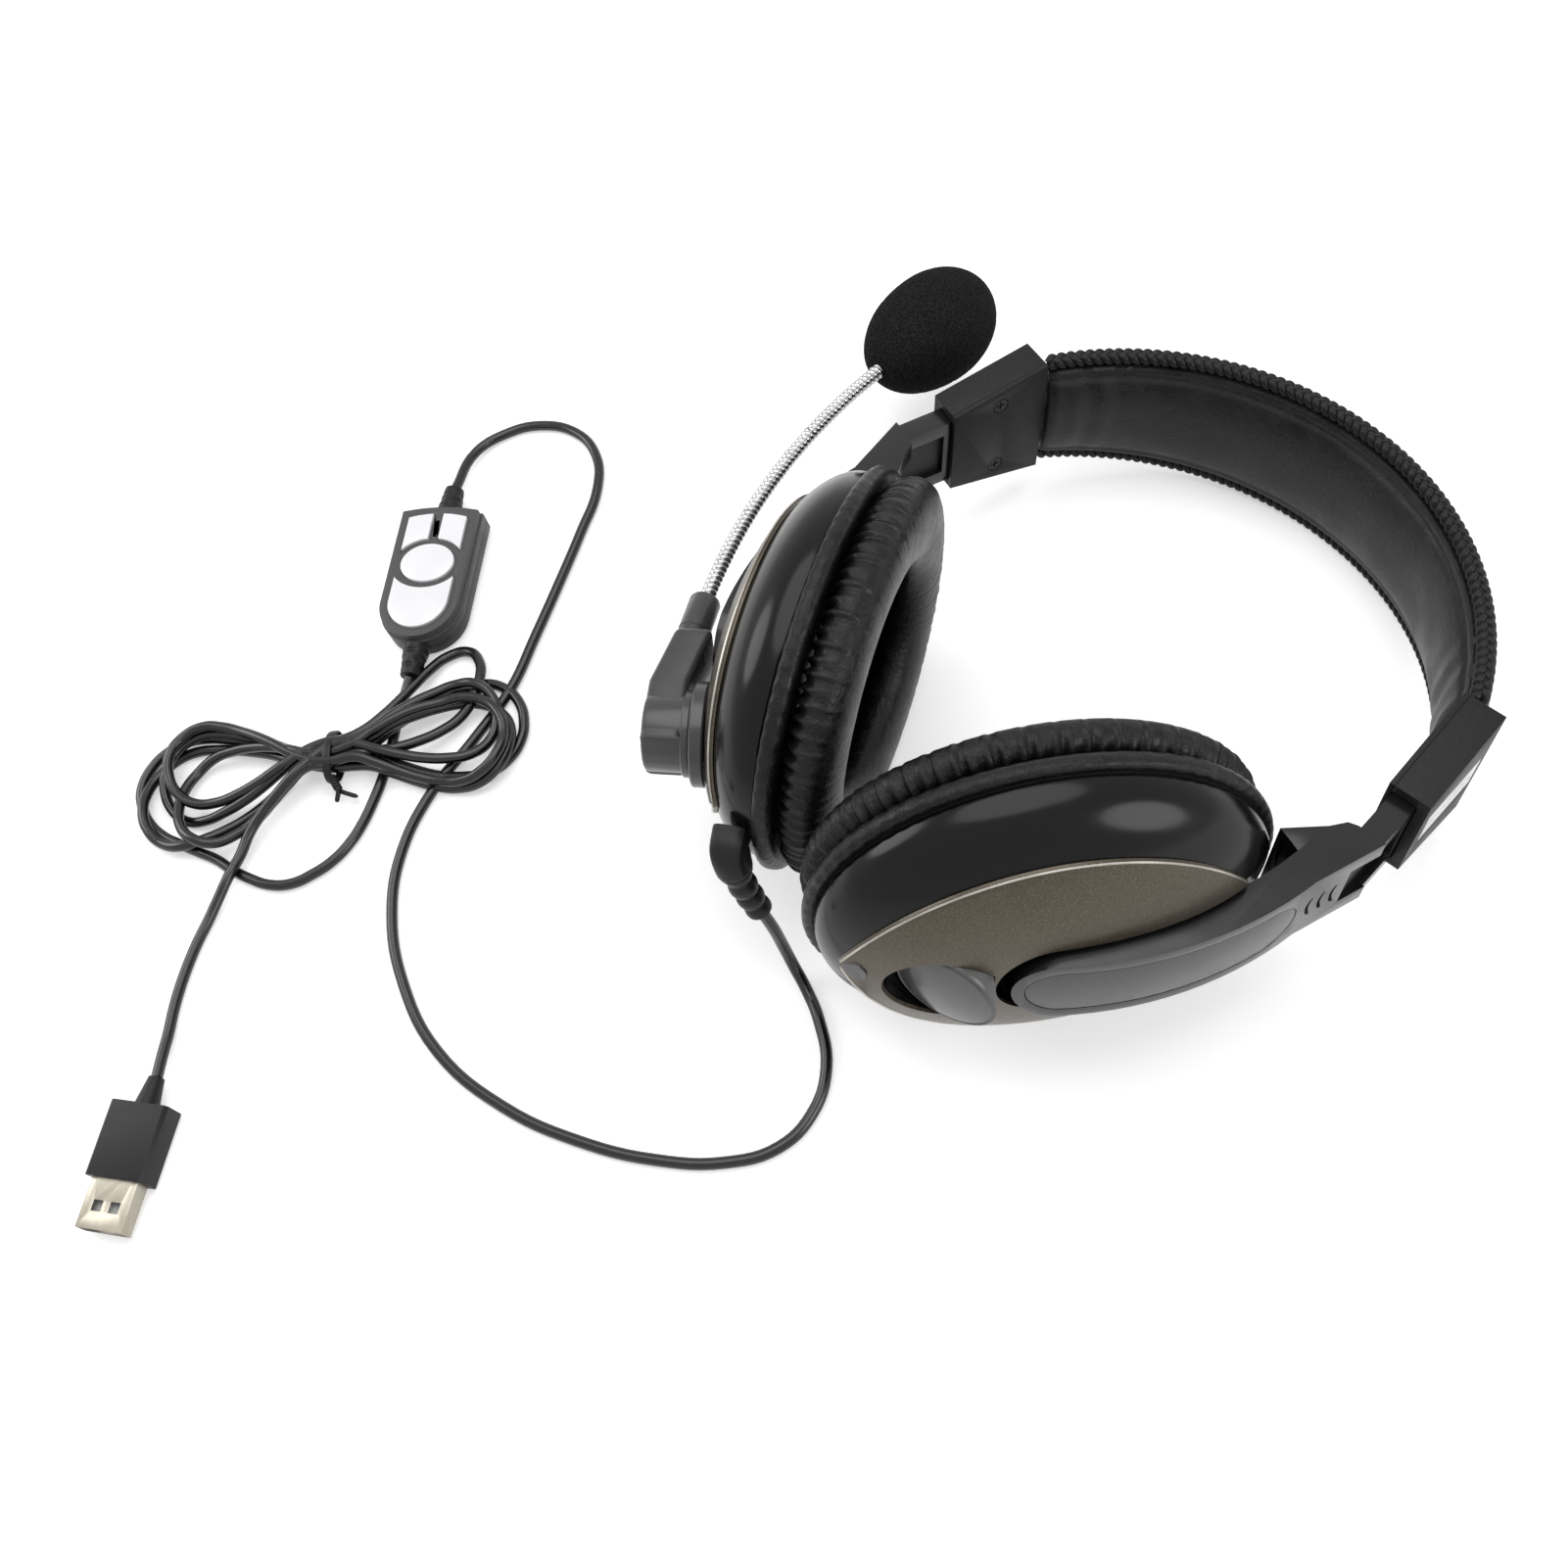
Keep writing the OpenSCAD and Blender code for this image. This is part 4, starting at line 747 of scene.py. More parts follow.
def domeSurface(grow, low, sides=128, rows=26):
    # an ellipse that shrinks as a quarter ellipse rises, on a short upright lip
    k = np.linspace(0, np.pi / 2 - 0.004, rows)[:, None]
    t = around(sides)
    a, b, h = cup["a"] + grow, cup["b"] + grow, cup["h"] + grow
    dome = stack(a * np.cos(k) * np.cos(t), b * np.cos(k) * np.sin(t),
                 cup["edge"] + h * np.sin(k) + 0 * t)
    lip = [(-1.3, low), (-0.5, low + 0.1), (-0.12, low + 0.45), (0.0, low + 1.0)]
    rim = [stack((a + d) * np.cos(t), (b + d) * np.sin(t), z) for d, z in lip]
    return closedTube(np.concatenate([np.stack(rim), dome]))


def slotSurface(grow=0.0):
    # upright sides, a rounded far end, filleted floor that falls towards the crown
    c = cupSettings
    half, far, start = c["slotHalf"] + grow, c["slotFar"], c["floor"][0][0]
    bend = np.linspace(1.54, 0, 18)
    u = np.concatenate([c["slotEnd"] - half * np.sin(bend),
                        np.linspace(c["slotEnd"] + 1, far, 46)])
    w = np.concatenate([half * np.cos(bend), np.full(46, half)])
    at, z = np.array(c["floor"], float).T
    fine = np.linspace(start, far, 153)
    soft = np.convolve(np.pad(np.interp(fine, at, z), 6, "edge"), np.ones(13) / 13, "valid")
    floor = np.interp(u, fine, soft) - grow
    r = np.minimum(c["slotRound"], 0.9 * w)[:, None]
    t = np.linspace(0, np.pi / 2, 5)
    side = stack(w[:, None] - r * (1 - np.cos(t)), floor[:, None] + r * (1 - np.sin(t)))
    right = np.concatenate([stack(w, np.full(len(u), 60.0))[:, None], side], 1)
    ring = np.concatenate([right, right[:, ::-1] * [-1, 1]], 1)
    return closedTube(stack(u[:, None], ring[..., 0], ring[..., 1]))


def plateHalf(u):
    # the plate's outline is two arcs that meet in a tip at each end
    r = cupSettings["plateRadius"]
    return np.sqrt(np.clip(r ** 2 - np.asarray(u) ** 2, 0, None)) - cupSettings["plateSunk"]


def plateSurface():
    # an eye-shaped piece of the dome, a little proud of it, with eased edges
    u = cupSettings["plateReach"] * np.sin(np.linspace(-np.pi / 2, np.pi / 2, 120))
    h = np.maximum(plateHalf(u), 0.06)[:, None]
    q = np.linspace(-1, 1, 61)
    ease = np.minimum(0.3 / h, 0.5)
    low, high = cupSettings["plateLow"], cupSettings["plateHigh"]
    eased, full = 1 - 0.25 * ease, 1 + 0 * ease
    rings = [(q * (1 - ease), high), (eased, high - 0.1), (full, high - 0.32),
             (-q[::3] + 0 * ease, low), (-full, high - 0.32), (-eased, high - 0.1)]
    parts = [stack(u[:, None], h * share, domeHeight(u[:, None], h * share, grow))
             for share, grow in rings]
    return closedTube(np.concatenate(parts, 1))


def edgeLine(sign):
    # along the plate's edge, left out where the arm's pocket cuts it
    c = cupSettings
    u = np.linspace(-c["lineReach"], c["lineReach"], 200)
    v = sign * plateHalf(u)
    keep = ~((np.abs(v) < c["slotHalf"] + 0.5) & (u > 0))
    u, v = u[keep], v[keep]
    path = stack(u, v, domeHeight(u, v, c["plateHigh"]) - 0.05)
    return roundTube(path, np.full(len(u), c["lineRadius"]), sides=8)


def lensSurface():
    # the outlined tip beyond the round cap
    c = cupSettings["tip"]
    u = np.linspace(*c["reach"], 24)
    h = c["half"] * np.clip(1 - ((u - c["middle"]) / c["bow"]) ** 2, 0.02, None)[:, None]
    q = np.linspace(-1, 1, 21)
    top = stack(u[:, None], h * q * 0.9, domeHeight(u[:, None], h * q, c["high"]))
    base = stack(u[:, None], -h * q, domeHeight(u[:, None], h * q, c["low"]))
    return closedTube(np.concatenate([top, base], 1))


discSettings = {"u": 23.0, "v": -3.0, "radius": 11.2, "lean": 39.0, "low": 13.2, "edge": 14.4,
                "crown": 45.0, "gap": 0.3}
discPlace = (cupPlace("r") @ shift(-discSettings["u"], discSettings["v"],
                                   float(domeHeight(discSettings["u"], 0.0)))
             @ turn("Y", -discSettings["lean"]))


def discBlock(grow, low, wide):
    # the round cap's leaning cylinder, cut level underneath and cut off on the arm's side
    r, edge = discSettings["radius"] + grow, discSettings["edge"]
    post = solid("post", placed(lathe([(r, -40), (r, 30)], 128), discPlace))
    box = solid("box", placed(boxSurface(-60, wide - edge, -40, 40, low, 60), cupPlace("r")))
    combine(post, box, "INTERSECT")
    return post


def makeCup(side):
    body, place, wall = cupBody[side], cupPlace(side), cupSettings["wall"]
    gap, low = discSettings["gap"], discSettings["low"]
    slotCut = placed(slotSurface(), place)
    hollow = solid("hollow", placed(domeSurface(-wall, 2.0), place))
    carve(hollow, placed(slotSurface(wall), place))
    if side == "r":
        combine(hollow, discBlock(wall, low - wall, wall))
    shell = addPiece("cupShell_" + side, placed(domeSurface(0.0, cupSettings["lip"]), place),
                     gloss, body, ("shell_" + side,))
    combine(shell, hollow)
    carve(shell, slotCut)
    plate = addPiece("eyePlate_" + side, placed(plateSurface(), place), gunmetal, body,
                     ("eye_plate_" + side,))
    carve(plate, slotCut)
    if side == "r":
        combine(shell, discBlock(gap, low - 0.15, gap))
        combine(plate, discBlock(gap, 0.0, gap))
    else:
        r = cupSettings["capHole"]
        carve(plate, placed(lathe([(r, -6), (r, 14)], 96), domePlace(side)))
    line = [placed(edgeLine(sign), place) for sign in (1, -1)]
    addPiece("plateEdge_" + side, together(*line), edgeSilver, body)
    addPiece("plateTip_" + side, placed(lensSurface(), place), capGloss, body)


for side in sides:
    makeCup(side)


def capSurface():
    # a low crown with a fine step inside its rim, on a straight wall
    crown, radius = discSettings["crown"], discSettings["radius"]
    r = np.concatenate([np.linspace(0.02, 9.9, 16),
                        [10.1, 10.2, 10.5, 10.6, 10.75, 10.95, 11.1, radius]])
    high = np.sqrt(crown ** 2 - r ** 2) - math.sqrt(crown ** 2 - radius ** 2)
    dip = np.interp(r, [9.95, 10.2, 10.5, 10.7], [0, 0.28, 0.28, 0.0])
    ease = np.interp(r, [10.9, 11.1, radius], [0, 0.05, 0.25])
    wall = np.array([(0.02, -22.0), (radius, -22.0), (radius, -0.8)])
    return lathe(np.concatenate([wall, stack(r, high - dip - ease)[::-1]]), 128)


cap = addPiece("roundCap", placed(capSurface(), discPlace), capGloss, "plain_cup",
               ("end_cap_r",), sharp=30)
combine(cap, discBlock(2.0, discSettings["low"], 0.0), "INTERSECT", sharp=30)
addPiece("hubCollar", placed(ringLathe(cupSettings["collar"], 128), domePlace("l")), hubPlastic,
         "mic_cup", ("hub_collar_l",))
print("headset: cups made")

# ear cushions: a stuffed ring with gathered wrinkles at the rear seam, and a skirt
cushionSettings = {"midA": 37.35, "midB": 31.6, "half": 9.6, "extra": 0.75, "midZ": -6.5,
                   "thick": 6.2, "gathers": 86, "depth": 1.25, "skirt": (47.0, 40.5),
                   "folds": 74, "fold": 0.22, "cloth": (32.2, 26.2), "sag": 0.35}
skirtProfile = [(-2.6, -0.55), (-0.8, -0.75), (0.55, -0.55), (1.2, 0.1), (1.5, 0.9), (1.62, 1.7),
                (1.5, 2.4), (1.15, 3.0), (0.45, 3.3), (-0.3, 3.25), (-0.25, 2.9), (0.75, 2.5),
                (0.95, 1.6), (0.75, 0.5), (-0.2, -0.1), (-2.6, -0.2)]


def cushionSurface(seed):
    # an oval ring of super-elliptic section; ridges run out from the rear seam and fade
    c = cushionSettings
    rows, cols = 720, 84
    a = around(rows)[:, None]
    t = around(cols)[None]
    w = c["half"] + c["extra"] * np.cos(a) ** 2
    soften = lambda value: np.sign(value) * np.abs(value) ** 0.92
    circle = stack(np.cos(a), np.sin(a))[:, 0]
    slow = waves(circle, seed, 6, 1.5, 5.0)[:, None]
    other = waves(circle, seed + 1, 6, 3.0, 9.0)[:, None]
    phase = c["gathers"] * a + 2.2 * slow + 0.9 * other
    pleat = (0.5 + 0.5 * np.cos(phase)) ** 2.2
    finer = (0.5 + 0.5 * np.cos(1.53 * phase + 2.0 * other + 1.0)) ** 2
    # distance round the section from the rear seam, in radians
    fromSeam = np.abs((t - 1.05 + np.pi) % (2 * np.pi) - np.pi)
    reach = 1.05 + 0.35 * slow + 0.35 * np.sin(phase * 0.5 + other)
    fade = np.exp(-(fromSeam / np.clip(reach, 0.45, 1.9)) ** 2)
    pinch = np.exp(-(fromSeam / 0.16) ** 2)
    push = c["depth"] * fade * (pleat - 0.55) + 0.35 * fade * (finer - 0.4)
    push = push - 0.5 * pinch
    # the wall of the ear hole stays smooth
    push = push * (1 - 0.9 * np.exp(-((t - np.pi) / 0.9) ** 2))
    bulge = 0.35 * waves(np.concatenate(np.broadcast_arrays(
        np.cos(a)[..., None] * 3, np.sin(a)[..., None] * 3,
        np.sin(t)[..., None] * np.ones_like(a)[..., None]), -1), seed + 2, 8, 0.6, 1.6)
    push = push + bulge - 0.35
    r = w * soften(np.cos(t)) + push * np.cos(t)
    z = c["midZ"] + c["thick"] * soften(np.sin(t)) + push * np.sin(t)
    z = np.clip(z, -13.2, -0.12)
    sway = 0.10 * fade * np.sin(phase + 0.8) / 30
    return closedRing(stack((c["midA"] + r) * np.cos(a + sway),
                            (c["midB"] + r) * np.sin(a + sway), z))


def skirtSurface(seed):
    # the cover's band over the pad ring, drawn in and puckered at both edges
    a = around(720)[:, None]
    out, up = np.array(skirtProfile).T
    circle = stack(np.cos(a), np.sin(a))[:, 0]
    slow = waves(circle, seed, 6, 2.0, 6.0)[:, None]
    pleat = np.cos(cushionSettings["folds"] * a + 2.5 * slow) * (0.6 + 0.4 * slow)
    edge = np.exp(-((up - 3.0) / 0.7) ** 2) + 0.8 * np.exp(-((up + 0.3) / 0.7) ** 2)
    outer = np.where(np.arange(len(out)) < 10, 1.0, 0.0)
    push = cushionSettings["fold"] * pleat * edge * outer + 0.12 * slow * outer
    halfX, halfY = cushionSettings["skirt"]
    return closedRing(stack((halfX + out + push) * np.cos(a), (halfY + out + push) * np.sin(a),
                            up + 0 * a))


def clothSurface():
    # a thin disc of speaker cloth that sags a little in its hole
    r = np.linspace(0.003, 1, 26)[:, None]
    t = around(96)
    halfX, halfY = cushionSettings["cloth"]
    sag = cushionSettings["sag"] * (1 - r ** 2)
    top, base = [stack(halfX * r * np.cos(t), halfY * r * np.sin(t), z + 0 * t)
                 for z in (2.3 + sag, 2.75 + sag * 0.9)]
    return closedTube(np.concatenate([top, base[::-1]]))


for side, seed in (("r", 11), ("l", 23)):
    place = cupPlace(side)
    points, faces = placed(together(cushionSurface(seed), skirtSurface(seed + 5)), place)
    points[:, 2] = np.maximum(points[:, 2], 0.12)
    cushion = addPiece("earCushion_" + side, (points, faces), cushionSkin, cupBody[side],
                       ("cushion_" + side,), sharp=60)
    cloth = addPiece("earCloth_" + side, placed(clothSurface(), place), knit, cupBody[side],
                     ("ear_cloth_" + side,))
print("headset: cushions made")

# headband: inner pad, outer cover and a plaited edging on each side
# pad and cover are (radius, way out, thickness, seed, ripple)
bandSettings = {"y": 60.0, "half": 61.0, "width": 15.5, "taper": 2.6, "edge": 1.4,
                "middle": 74.5, "plait": 6.8, "strand": 0.98, "sway": 1.15, "core": 0.75,
                "pad": (73.7, -1, 4.6, 31, 0.22), "cover": (75.3, 1, 3.0, 37, 0.16)}


def bandHalf(q):
    # half the band's width, which tapers as a parabola towards its ends
    return bandSettings["width"] - bandSettings["taper"] * q ** 2


def bandSurface(face, way, middle, seed, ripple):
    # flat against the steel strip, crowned on the other side, with soft cross ripples
    b = bandSettings
    rows, cols = 260, 56
    q = np.linspace(-1, 1, rows)[:, None]
    a = np.radians(b["half"]) * q
    s = np.linspace(-1, 1, cols)[None]
    w = bandHalf(q)
    swell = (1 - np.abs(s) ** 2.4)
    drape = waves(stack(q * 9 + 0 * s, s * 1.2 + 0 * q), seed, 9, 0.5, 2.2)
    fold = np.exp(-((np.abs(q) - 0.86) / 0.10) ** 2) * np.cos(q * 62 + 1.4 * s ** 2)
    thick = b["edge"] + (middle - b["edge"]) * swell + ripple * drape * swell
    thick = thick + 0.35 * fold * swell - 0.45 * np.exp(-((np.abs(s) - 0.86) / 0.05) ** 2)
    thick = thick * np.minimum(1, 0.35 + (1 - np.abs(q)) * 24) ** 0.5
    r = face + way * np.maximum(thick, 0.5)
    z = w * s
    crowned = stack(r * np.sin(a), b["y"] + r * np.cos(a), z)
    flat = stack(face * np.sin(a) + 0 * s, b["y"] + face * np.cos(a) + 0 * s, z)[:, ::-1]
    return closedTube(np.concatenate([crowned, flat], 1))


def plaitSurface(sign):
    # three strands cross over along the edge, round a thin core
    b = bandSettings
    count = 620
    q = np.linspace(-1, 1, count)
    a = np.radians(b["half"]) * q
    z = sign * (bandHalf(q) + 1.7)
    path = stack(b["middle"] * np.sin(a), b["y"] + b["middle"] * np.cos(a), z)
    run = b["middle"] * a
    ahead, across, over = axesAlong(path, (0, 0, 1))
    strands = [roundTube(path, np.full(count, b["core"]), sides=8)]
    for k in range(3):
        turnBy = 2 * np.pi * (run / b["plait"] + k / 3)
        middle = (path + across * (b["sway"] * np.sin(turnBy))[:, None]
                  + over * (0.62 * np.sin(2 * turnBy))[:, None])
        strands.append(roundTube(middle, np.full(count, b["strand"]), sides=8))
    return together(*strands)


pad, cover = [addPiece(name, placed(bandSurface(*bandSettings[key]), rest), skin, "headband",
                       ("band_" + key,), sharp=60)
              for name, key in (("bandPad", "pad"), ("bandCover", "cover"))]
addPiece("bandPlait", placed(together(plaitSurface(1), plaitSurface(-1)), rest), braidSkin,
         "headband", ("edge_braid",), sharp=60)
print("headset: band made")

# brackets, arms and their small parts: the CAD's own shapes with eased edges
blindBox = (-1.75, -0.15, -19.3, -1.7, -6.3, 6.3)
armBody = {"r": "arm_right", "l": "arm_left"}
arms = {}
for side in sides:
    refined("bracket_body_" + side, bracketPlastic, edge=0.9, steps=3)
    arms[side] = refined("arm_" + side, armPlastic, edge=1.5, steps=4, angle=35)
    # the strap's window is blind: a dark plate stands halfway through it
    addPiece("armBlind_" + side, placed(boxSurface(*blindBox), bracketPlace(side)),
             darkPlastic, armBody[side])
    refined("arm_cover_" + side, panelPlastic, edge=0.35, steps=3)
refined("bracket_plates", bracketPlastic, edge=0.35)
refined("bracket_inlays", inlayChrome, edge=0.12)
refined("bracket_screws", screwSteel, edge=0.0)
print("headset: brackets and arms made")

# microphone: barrel, lever, socket, spiral gooseneck and foam
micSettings = {
    "lever": {"low": [5.2, 5.2, 1.5], "high": [14.1, 14.1, 10.0], "at": [-6, 9.0, 24],
              "half": 7.5, "corner": 1.5, "round": 1.4},
    "barrel": [(0.02, 3.65), (9.3, 3.65), (9.6, 3.95), (9.6, 5.2), (9.3, 5.5), (8.6, 5.5),
               (8.6, 13.0), (8.4, 13.6), (7.9, 14.0), (7.2, 14.15), (0.02, 14.25)],
    "pivot": [(0.02, 1.2), (4, 1.2), (4, 4), (0.02, 4)],
    "socket": [(0.02, -6), (3.7, -6), (3.7, 3.2), (3.45, 3.5), (3.45, 4.1), (3.7, 4.4),
               (3.7, 13.2), (3.4, 13.8), (2.9, 14.0), (2.15, 14.0), (2.15, 12.0), (0.02, 12.0)],
    "socketAt": (-58.2748, -17.2383),
    # the spiral's inner radius, ridge and pitch, on an arc of radius bend
    "goose": 1.45, "wind": 0.42, "pitch": 1.5, "bend": 181.0,
    "head": 38.0, "step": 9.6, "centre": (76.9672, 103.653),
    "neck": [(2.35, 0.0), (2.7, 0.0), (3.0, 0.3), (3.1, 0.8), (3.1, 6.8), (2.35, 6.8)],
    "tip": (-101.704, 74.7141), "foam": {"radius": 14.3, "power": 0.88, "half": 20, "middle": 18,
                                      "soft": 0.10, "pore": 0.11}}


def leverSurface():
    # rounded boxes that sink and thin towards the free end
    m = micSettings["lever"]
    end, curve = m["at"][-1], m["round"]
    x = np.concatenate([np.linspace(-6, 11.6, 8), np.linspace(12.5, 22.6, 9),
                        end - curve * (1 - np.sin(np.linspace(0.25, np.pi / 2, 5)))])
    x = np.unique(np.round(x, 4))
    low, high = (np.interp(x, m["at"], m[key]) for key in ("low", "high"))
    past = np.clip(x - (end - curve), 0, curve)
    shrink = curve - np.sqrt(np.clip(curve ** 2 - past ** 2, 0, None))
    ring = np.stack([roundBox(m["half"] - d, (h - l) / 2 - d, m["corner"] - 0.6 * d)
                     + [0, (h + l) / 2] for l, h, d in zip(low, high, shrink)])
    return closedTube(stack(x[:, None], ring[..., 0], ring[..., 1]))


hubPlace = domePlace("l")
socketPlace = rest @ shift(*micSettings["socketAt"], 0) @ turn("Z", 38) @ turn("X", -90)
addPiece("micHub", together(placed(lathe(micSettings["barrel"], 128), hubPlace),
                            placed(leverSurface(), hubPlace),
                            placed(lathe(micSettings["pivot"], 48), hubPlace),
                            placed(lathe(micSettings["socket"], 64), socketPlace)),
         hubPlastic, "mic_boom", ("mic_hub",), sharp=30)


def gooseSurface(first):
    # a tube whose wall follows a close-wound spiral, along one third of the bend
    m = micSettings
    a = np.radians(np.linspace(first * m["step"] + 0.03, (first + 1) * m["step"] - 0.03, 300))
    head = np.radians(m["head"])
    path = stack(m["centre"][0] - m["bend"] * np.cos(head - a),
                 m["centre"][1] - m["bend"] * np.sin(head - a), 0 * a)
    wind = np.pi * (m["bend"] * a[:, None] / m["pitch"] - around(24) / (2 * np.pi))
    radii = m["goose"] + m["wind"] * np.abs(np.sin(wind)) ** 0.8
    return roundTube(path, radii, sides=24)


for k, body in enumerate(("mic_boom", "boom_middle", "boom_end")):
    addPiece("gooseneck_" + str(k + 1), placed(gooseSurface(k), rest), spiralChrome, body,
             ("goose_" + str(k + 1),), sharp=50)
foamPlace = rest @ shift(*micSettings["tip"], 0) @ turn("Z", 9.2) @ turn("X", -90)
addPiece("micCollar", placed(ringLathe(micSettings["neck"], 48), foamPlace), darkPlastic,
         "mic_head", ("mic_collar",))


def foamSurface():
    # an egg-shaped windscreen with a torn, open-celled skin
    f = micSettings["foam"]
    a = np.linspace(0.012, np.pi - 0.012, 190)[:, None]
    t = around(300)[None]
    r = f["radius"] * np.abs(np.sin(a)) ** f["power"] * (1 - 0.05 * np.cos(a)) + 0 * t
    z = f["middle"] - f["half"] * np.cos(a) + 0 * t
    where = stack(r * np.cos(t), r * np.sin(t), z)
    soft = waves(where, 41, 9, 0.15, 0.45)
    pores = waves(where, 43, 14, 2.2, 5.5)
    push = f["soft"] * soft - f["pore"] * np.clip(pores - 0.2, 0, None) - 0.12
    ahead = stack(np.sin(a) * np.cos(t), np.sin(a) * np.sin(t), -np.cos(a) + 0 * t)
    return closedTube(where + push[..., None] * ahead)


windscreen = addPiece("micFoam", placed(foamSurface(), foamPlace), foam, "mic_head",
                      ("mic_foam",), sharp=80)
print("headset: microphone made")

# the strain relief at the cup, and those at the remote
bootSettings = {"route": [(-46.4, -2.9, 8.3), (-47, -3, 8.2), (-49.6, -3.6, 7.6), (-51.4, -6, 6.4),
                          (-52.2, -10.5, 4.8), (-52, -16.5, 3), (-51.6, -22.5, 1)],
                "radius": [3.9, 3.9, 3.0, 2.6], "at": [0, 0.36, 0.4, 1], "rib": 0.75, "ribs": 5.2}


def bootSurface():
    # a squared collar, then rings that thin towards the cord
    b = bootSettings
    path = through(b["route"], 0.3)
    run = np.linspace(0, 1, len(path))
    base = np.interp(run, b["at"], b["radius"])
    square = np.clip(1.6 - run * 4, 0, 1)[:, None]
    t = around(32)[None]
    corner = (np.abs(np.cos(t)) ** 5 + np.abs(np.sin(t)) ** 5) ** -0.2
    ribs = b["rib"] * np.abs(np.cos(run * np.pi * b["ribs"])) ** 0.7 - 0.35
    ribs = np.where(run > 0.38, ribs, 0.0)
    radii = (base + ribs)[:, None] * (1 + square * (corner - 1) * 0.9)
    radii[-1] *= 0.9
    return roundTube(path, radii, sides=32)


addPiece("cupBoot", placed(bootSurface(), cupPlace("l")), bootPlastic, "mic_cup",
         ("cup_boot",), sharp=30)


remoteSettings = {"at": (-154.5, -46, 0.05), "turned": -44, "ends": ((-19.25, -90), (23.5, 90)),
                  "level": 4.6, "boot": 9, "thick": 3.7, "thin": 2.6, "dimple": 0.5}


def dimpledBoot():
    # a short taper with staggered dimples, along z
    b = remoteSettings
    z = np.linspace(0, b["boot"], 60)[:, None]
    t = around(40)[None]
    r = b["thick"] + (b["thin"] - b["thick"]) * (z / b["boot"]) + 0 * t
    for k in range(3):
        about = (t - k * np.pi / 4 + np.pi / 4) % (np.pi / 2) - np.pi / 4
        hollow = np.exp(-((z - 2.2 - 2.1 * k) / 0.62) ** 2 - (about / 0.42) ** 2)
        r = r - b["dimple"] * hollow
    r[-1] -= 0.3
    return closedTube(stack(r * np.cos(t), r * np.sin(t), z))


remotePlace = table @ shift(*remoteSettings["at"]) @ turn("Z", remoteSettings["turned"])
boots = [placed(dimpledBoot(), remotePlace @ shift(x, 0, remoteSettings["level"])
                @ turn("Y", angle)) for x, angle in remoteSettings["ends"]]
remoteBoots = addPiece("remoteBoots", together(*boots), bootPlastic, "mic_cup",
                       ("remote_boots",))
remoteShells = [refined(node, remotePlastic, edge=edge)
                for node, edge in (("remote_bottom", 0.5), ("remote_top", 0.45))]
keys = [refined("button_" + key, keyWhite, edge=0.4, steps=3)
        for key in ("left", "right", "oval", "moon")]
plug = [refined("plug_grip", bootPlastic, edge=1.1, steps=4),
        refined("plug_shell", nickel, edge=0.12)]
dress(plugWhite, "plug_tongue")
dress(boardGreen, "remote_board")
print("headset: remote and plug made")


tieSettings = {"halfY": 7.0, "halfZ": 4.7, "middle": 4.9, "wide": 1.1, "thick": 0.32,
               "wire": 0.62, "twisted": 0.62, "turns": 2.2, "splay": (-1.5, 4), "drop": (1.4, 0.3)}


def tieSurface():
    # a flat band round the bundle, then its two ends twisted together and splayed
    b = tieSettings
    t = np.linspace(0, 2 * np.pi, 64, endpoint=False)
    loop = stack(0 * t, b["halfY"] * np.cos(t), b["middle"] + b["halfZ"] * np.sin(t))
    normal = stack(0 * t, np.cos(t) / b["halfY"], np.sin(t) / b["halfZ"])
    normal /= np.linalg.norm(normal, axis=1, keepdims=True)
    grid = ringSweep(loop, np.array([[1.0, 0, 0]]), normal,
                     roundBox(b["wide"], b["thick"], 0.3, 3)[None])
    grid[..., 2] = np.maximum(grid[..., 2], 0.15)
    s = np.linspace(0, 1, 60)
    wire, twisted = b["wire"], b["twisted"]
    away = np.clip((s - twisted) / 0.38, 0, 1)
    ends = []
    for k, (splay, drop) in enumerate(zip(b["splay"], b["drop"])):
        spin = 2 * np.pi * (b["turns"] * np.minimum(s, twisted) / twisted + k / 2)
        x = 0.2 + 2.5 * s + (1.0 - away) * wire * np.cos(spin) + splay * away ** 1.3
        y = -6.0 - 4.6 * s - drop * away
        z = 5.4 - 2.8 * s + wire * np.sin(spin) * (1 - away)
        ends.append(roundTube(stack(x, y, z), np.interp(s, [0, 0.95, 1], [wire, wire, 0.4]),
                              sides=10))
    return together(closedRing(grid), *ends)


hankTie = addPiece("hankTie", placed(tieSurface(), table @ shift(*hankSettings["tie"], 0)
                                     @ turn("Z", hankSettings["axis"] - 6)),
                   tiePlastic, "mic_cup", ("hank_tie",))

tuple(mainPath[0] * mm)
round(runLength(through(mainPath, 1.0)) * mm, 3)
tuple(hankPath[0] * mm)
round(runLength(hankDense) * mm, 3)

dress(springSteel, "band_spring", "ball_stud_l", "ball_stud_r", "mic_capsule")
dress(linerNylon, "ball_liner_l", "ball_liner_r")
dress(darkPlastic, "baffle_l", "baffle_r", "pad_ring_l", "pad_ring_r")
dress(screwSteel, "cup_screws_l", "cup_screws_r", "driver_l", "driver_r")
dress(coneFilm, "diaphragm_l", "diaphragm_r")

# floor and light: a pale floor that the camera sees as white, and soft round lamps
# each lamp is (name, place, aim, width, strength)
lightSettings = {"world": 0.42, "floor": (0.80, 0.80, 0.80, 1), "lift": 0.45,
                 "far": (0.35, 1.1, 1.0, 1.6), "reach": 4000, "power": 4e-6,
                 "lamps": [("top", (-150, 120, 900), (0, 0, 20), 900, 1.6),
                           ("side", (700, 300, 420), (0, 0, 30), 520, 1.0),
                           ("near", (-620, -420, 460), (-40, 0, 20), 460, 0.8)]}


def emptied(holder):
    holder.use_nodes = True
    holder.node_tree.nodes.clear()
    return Nodes(holder.node_tree)


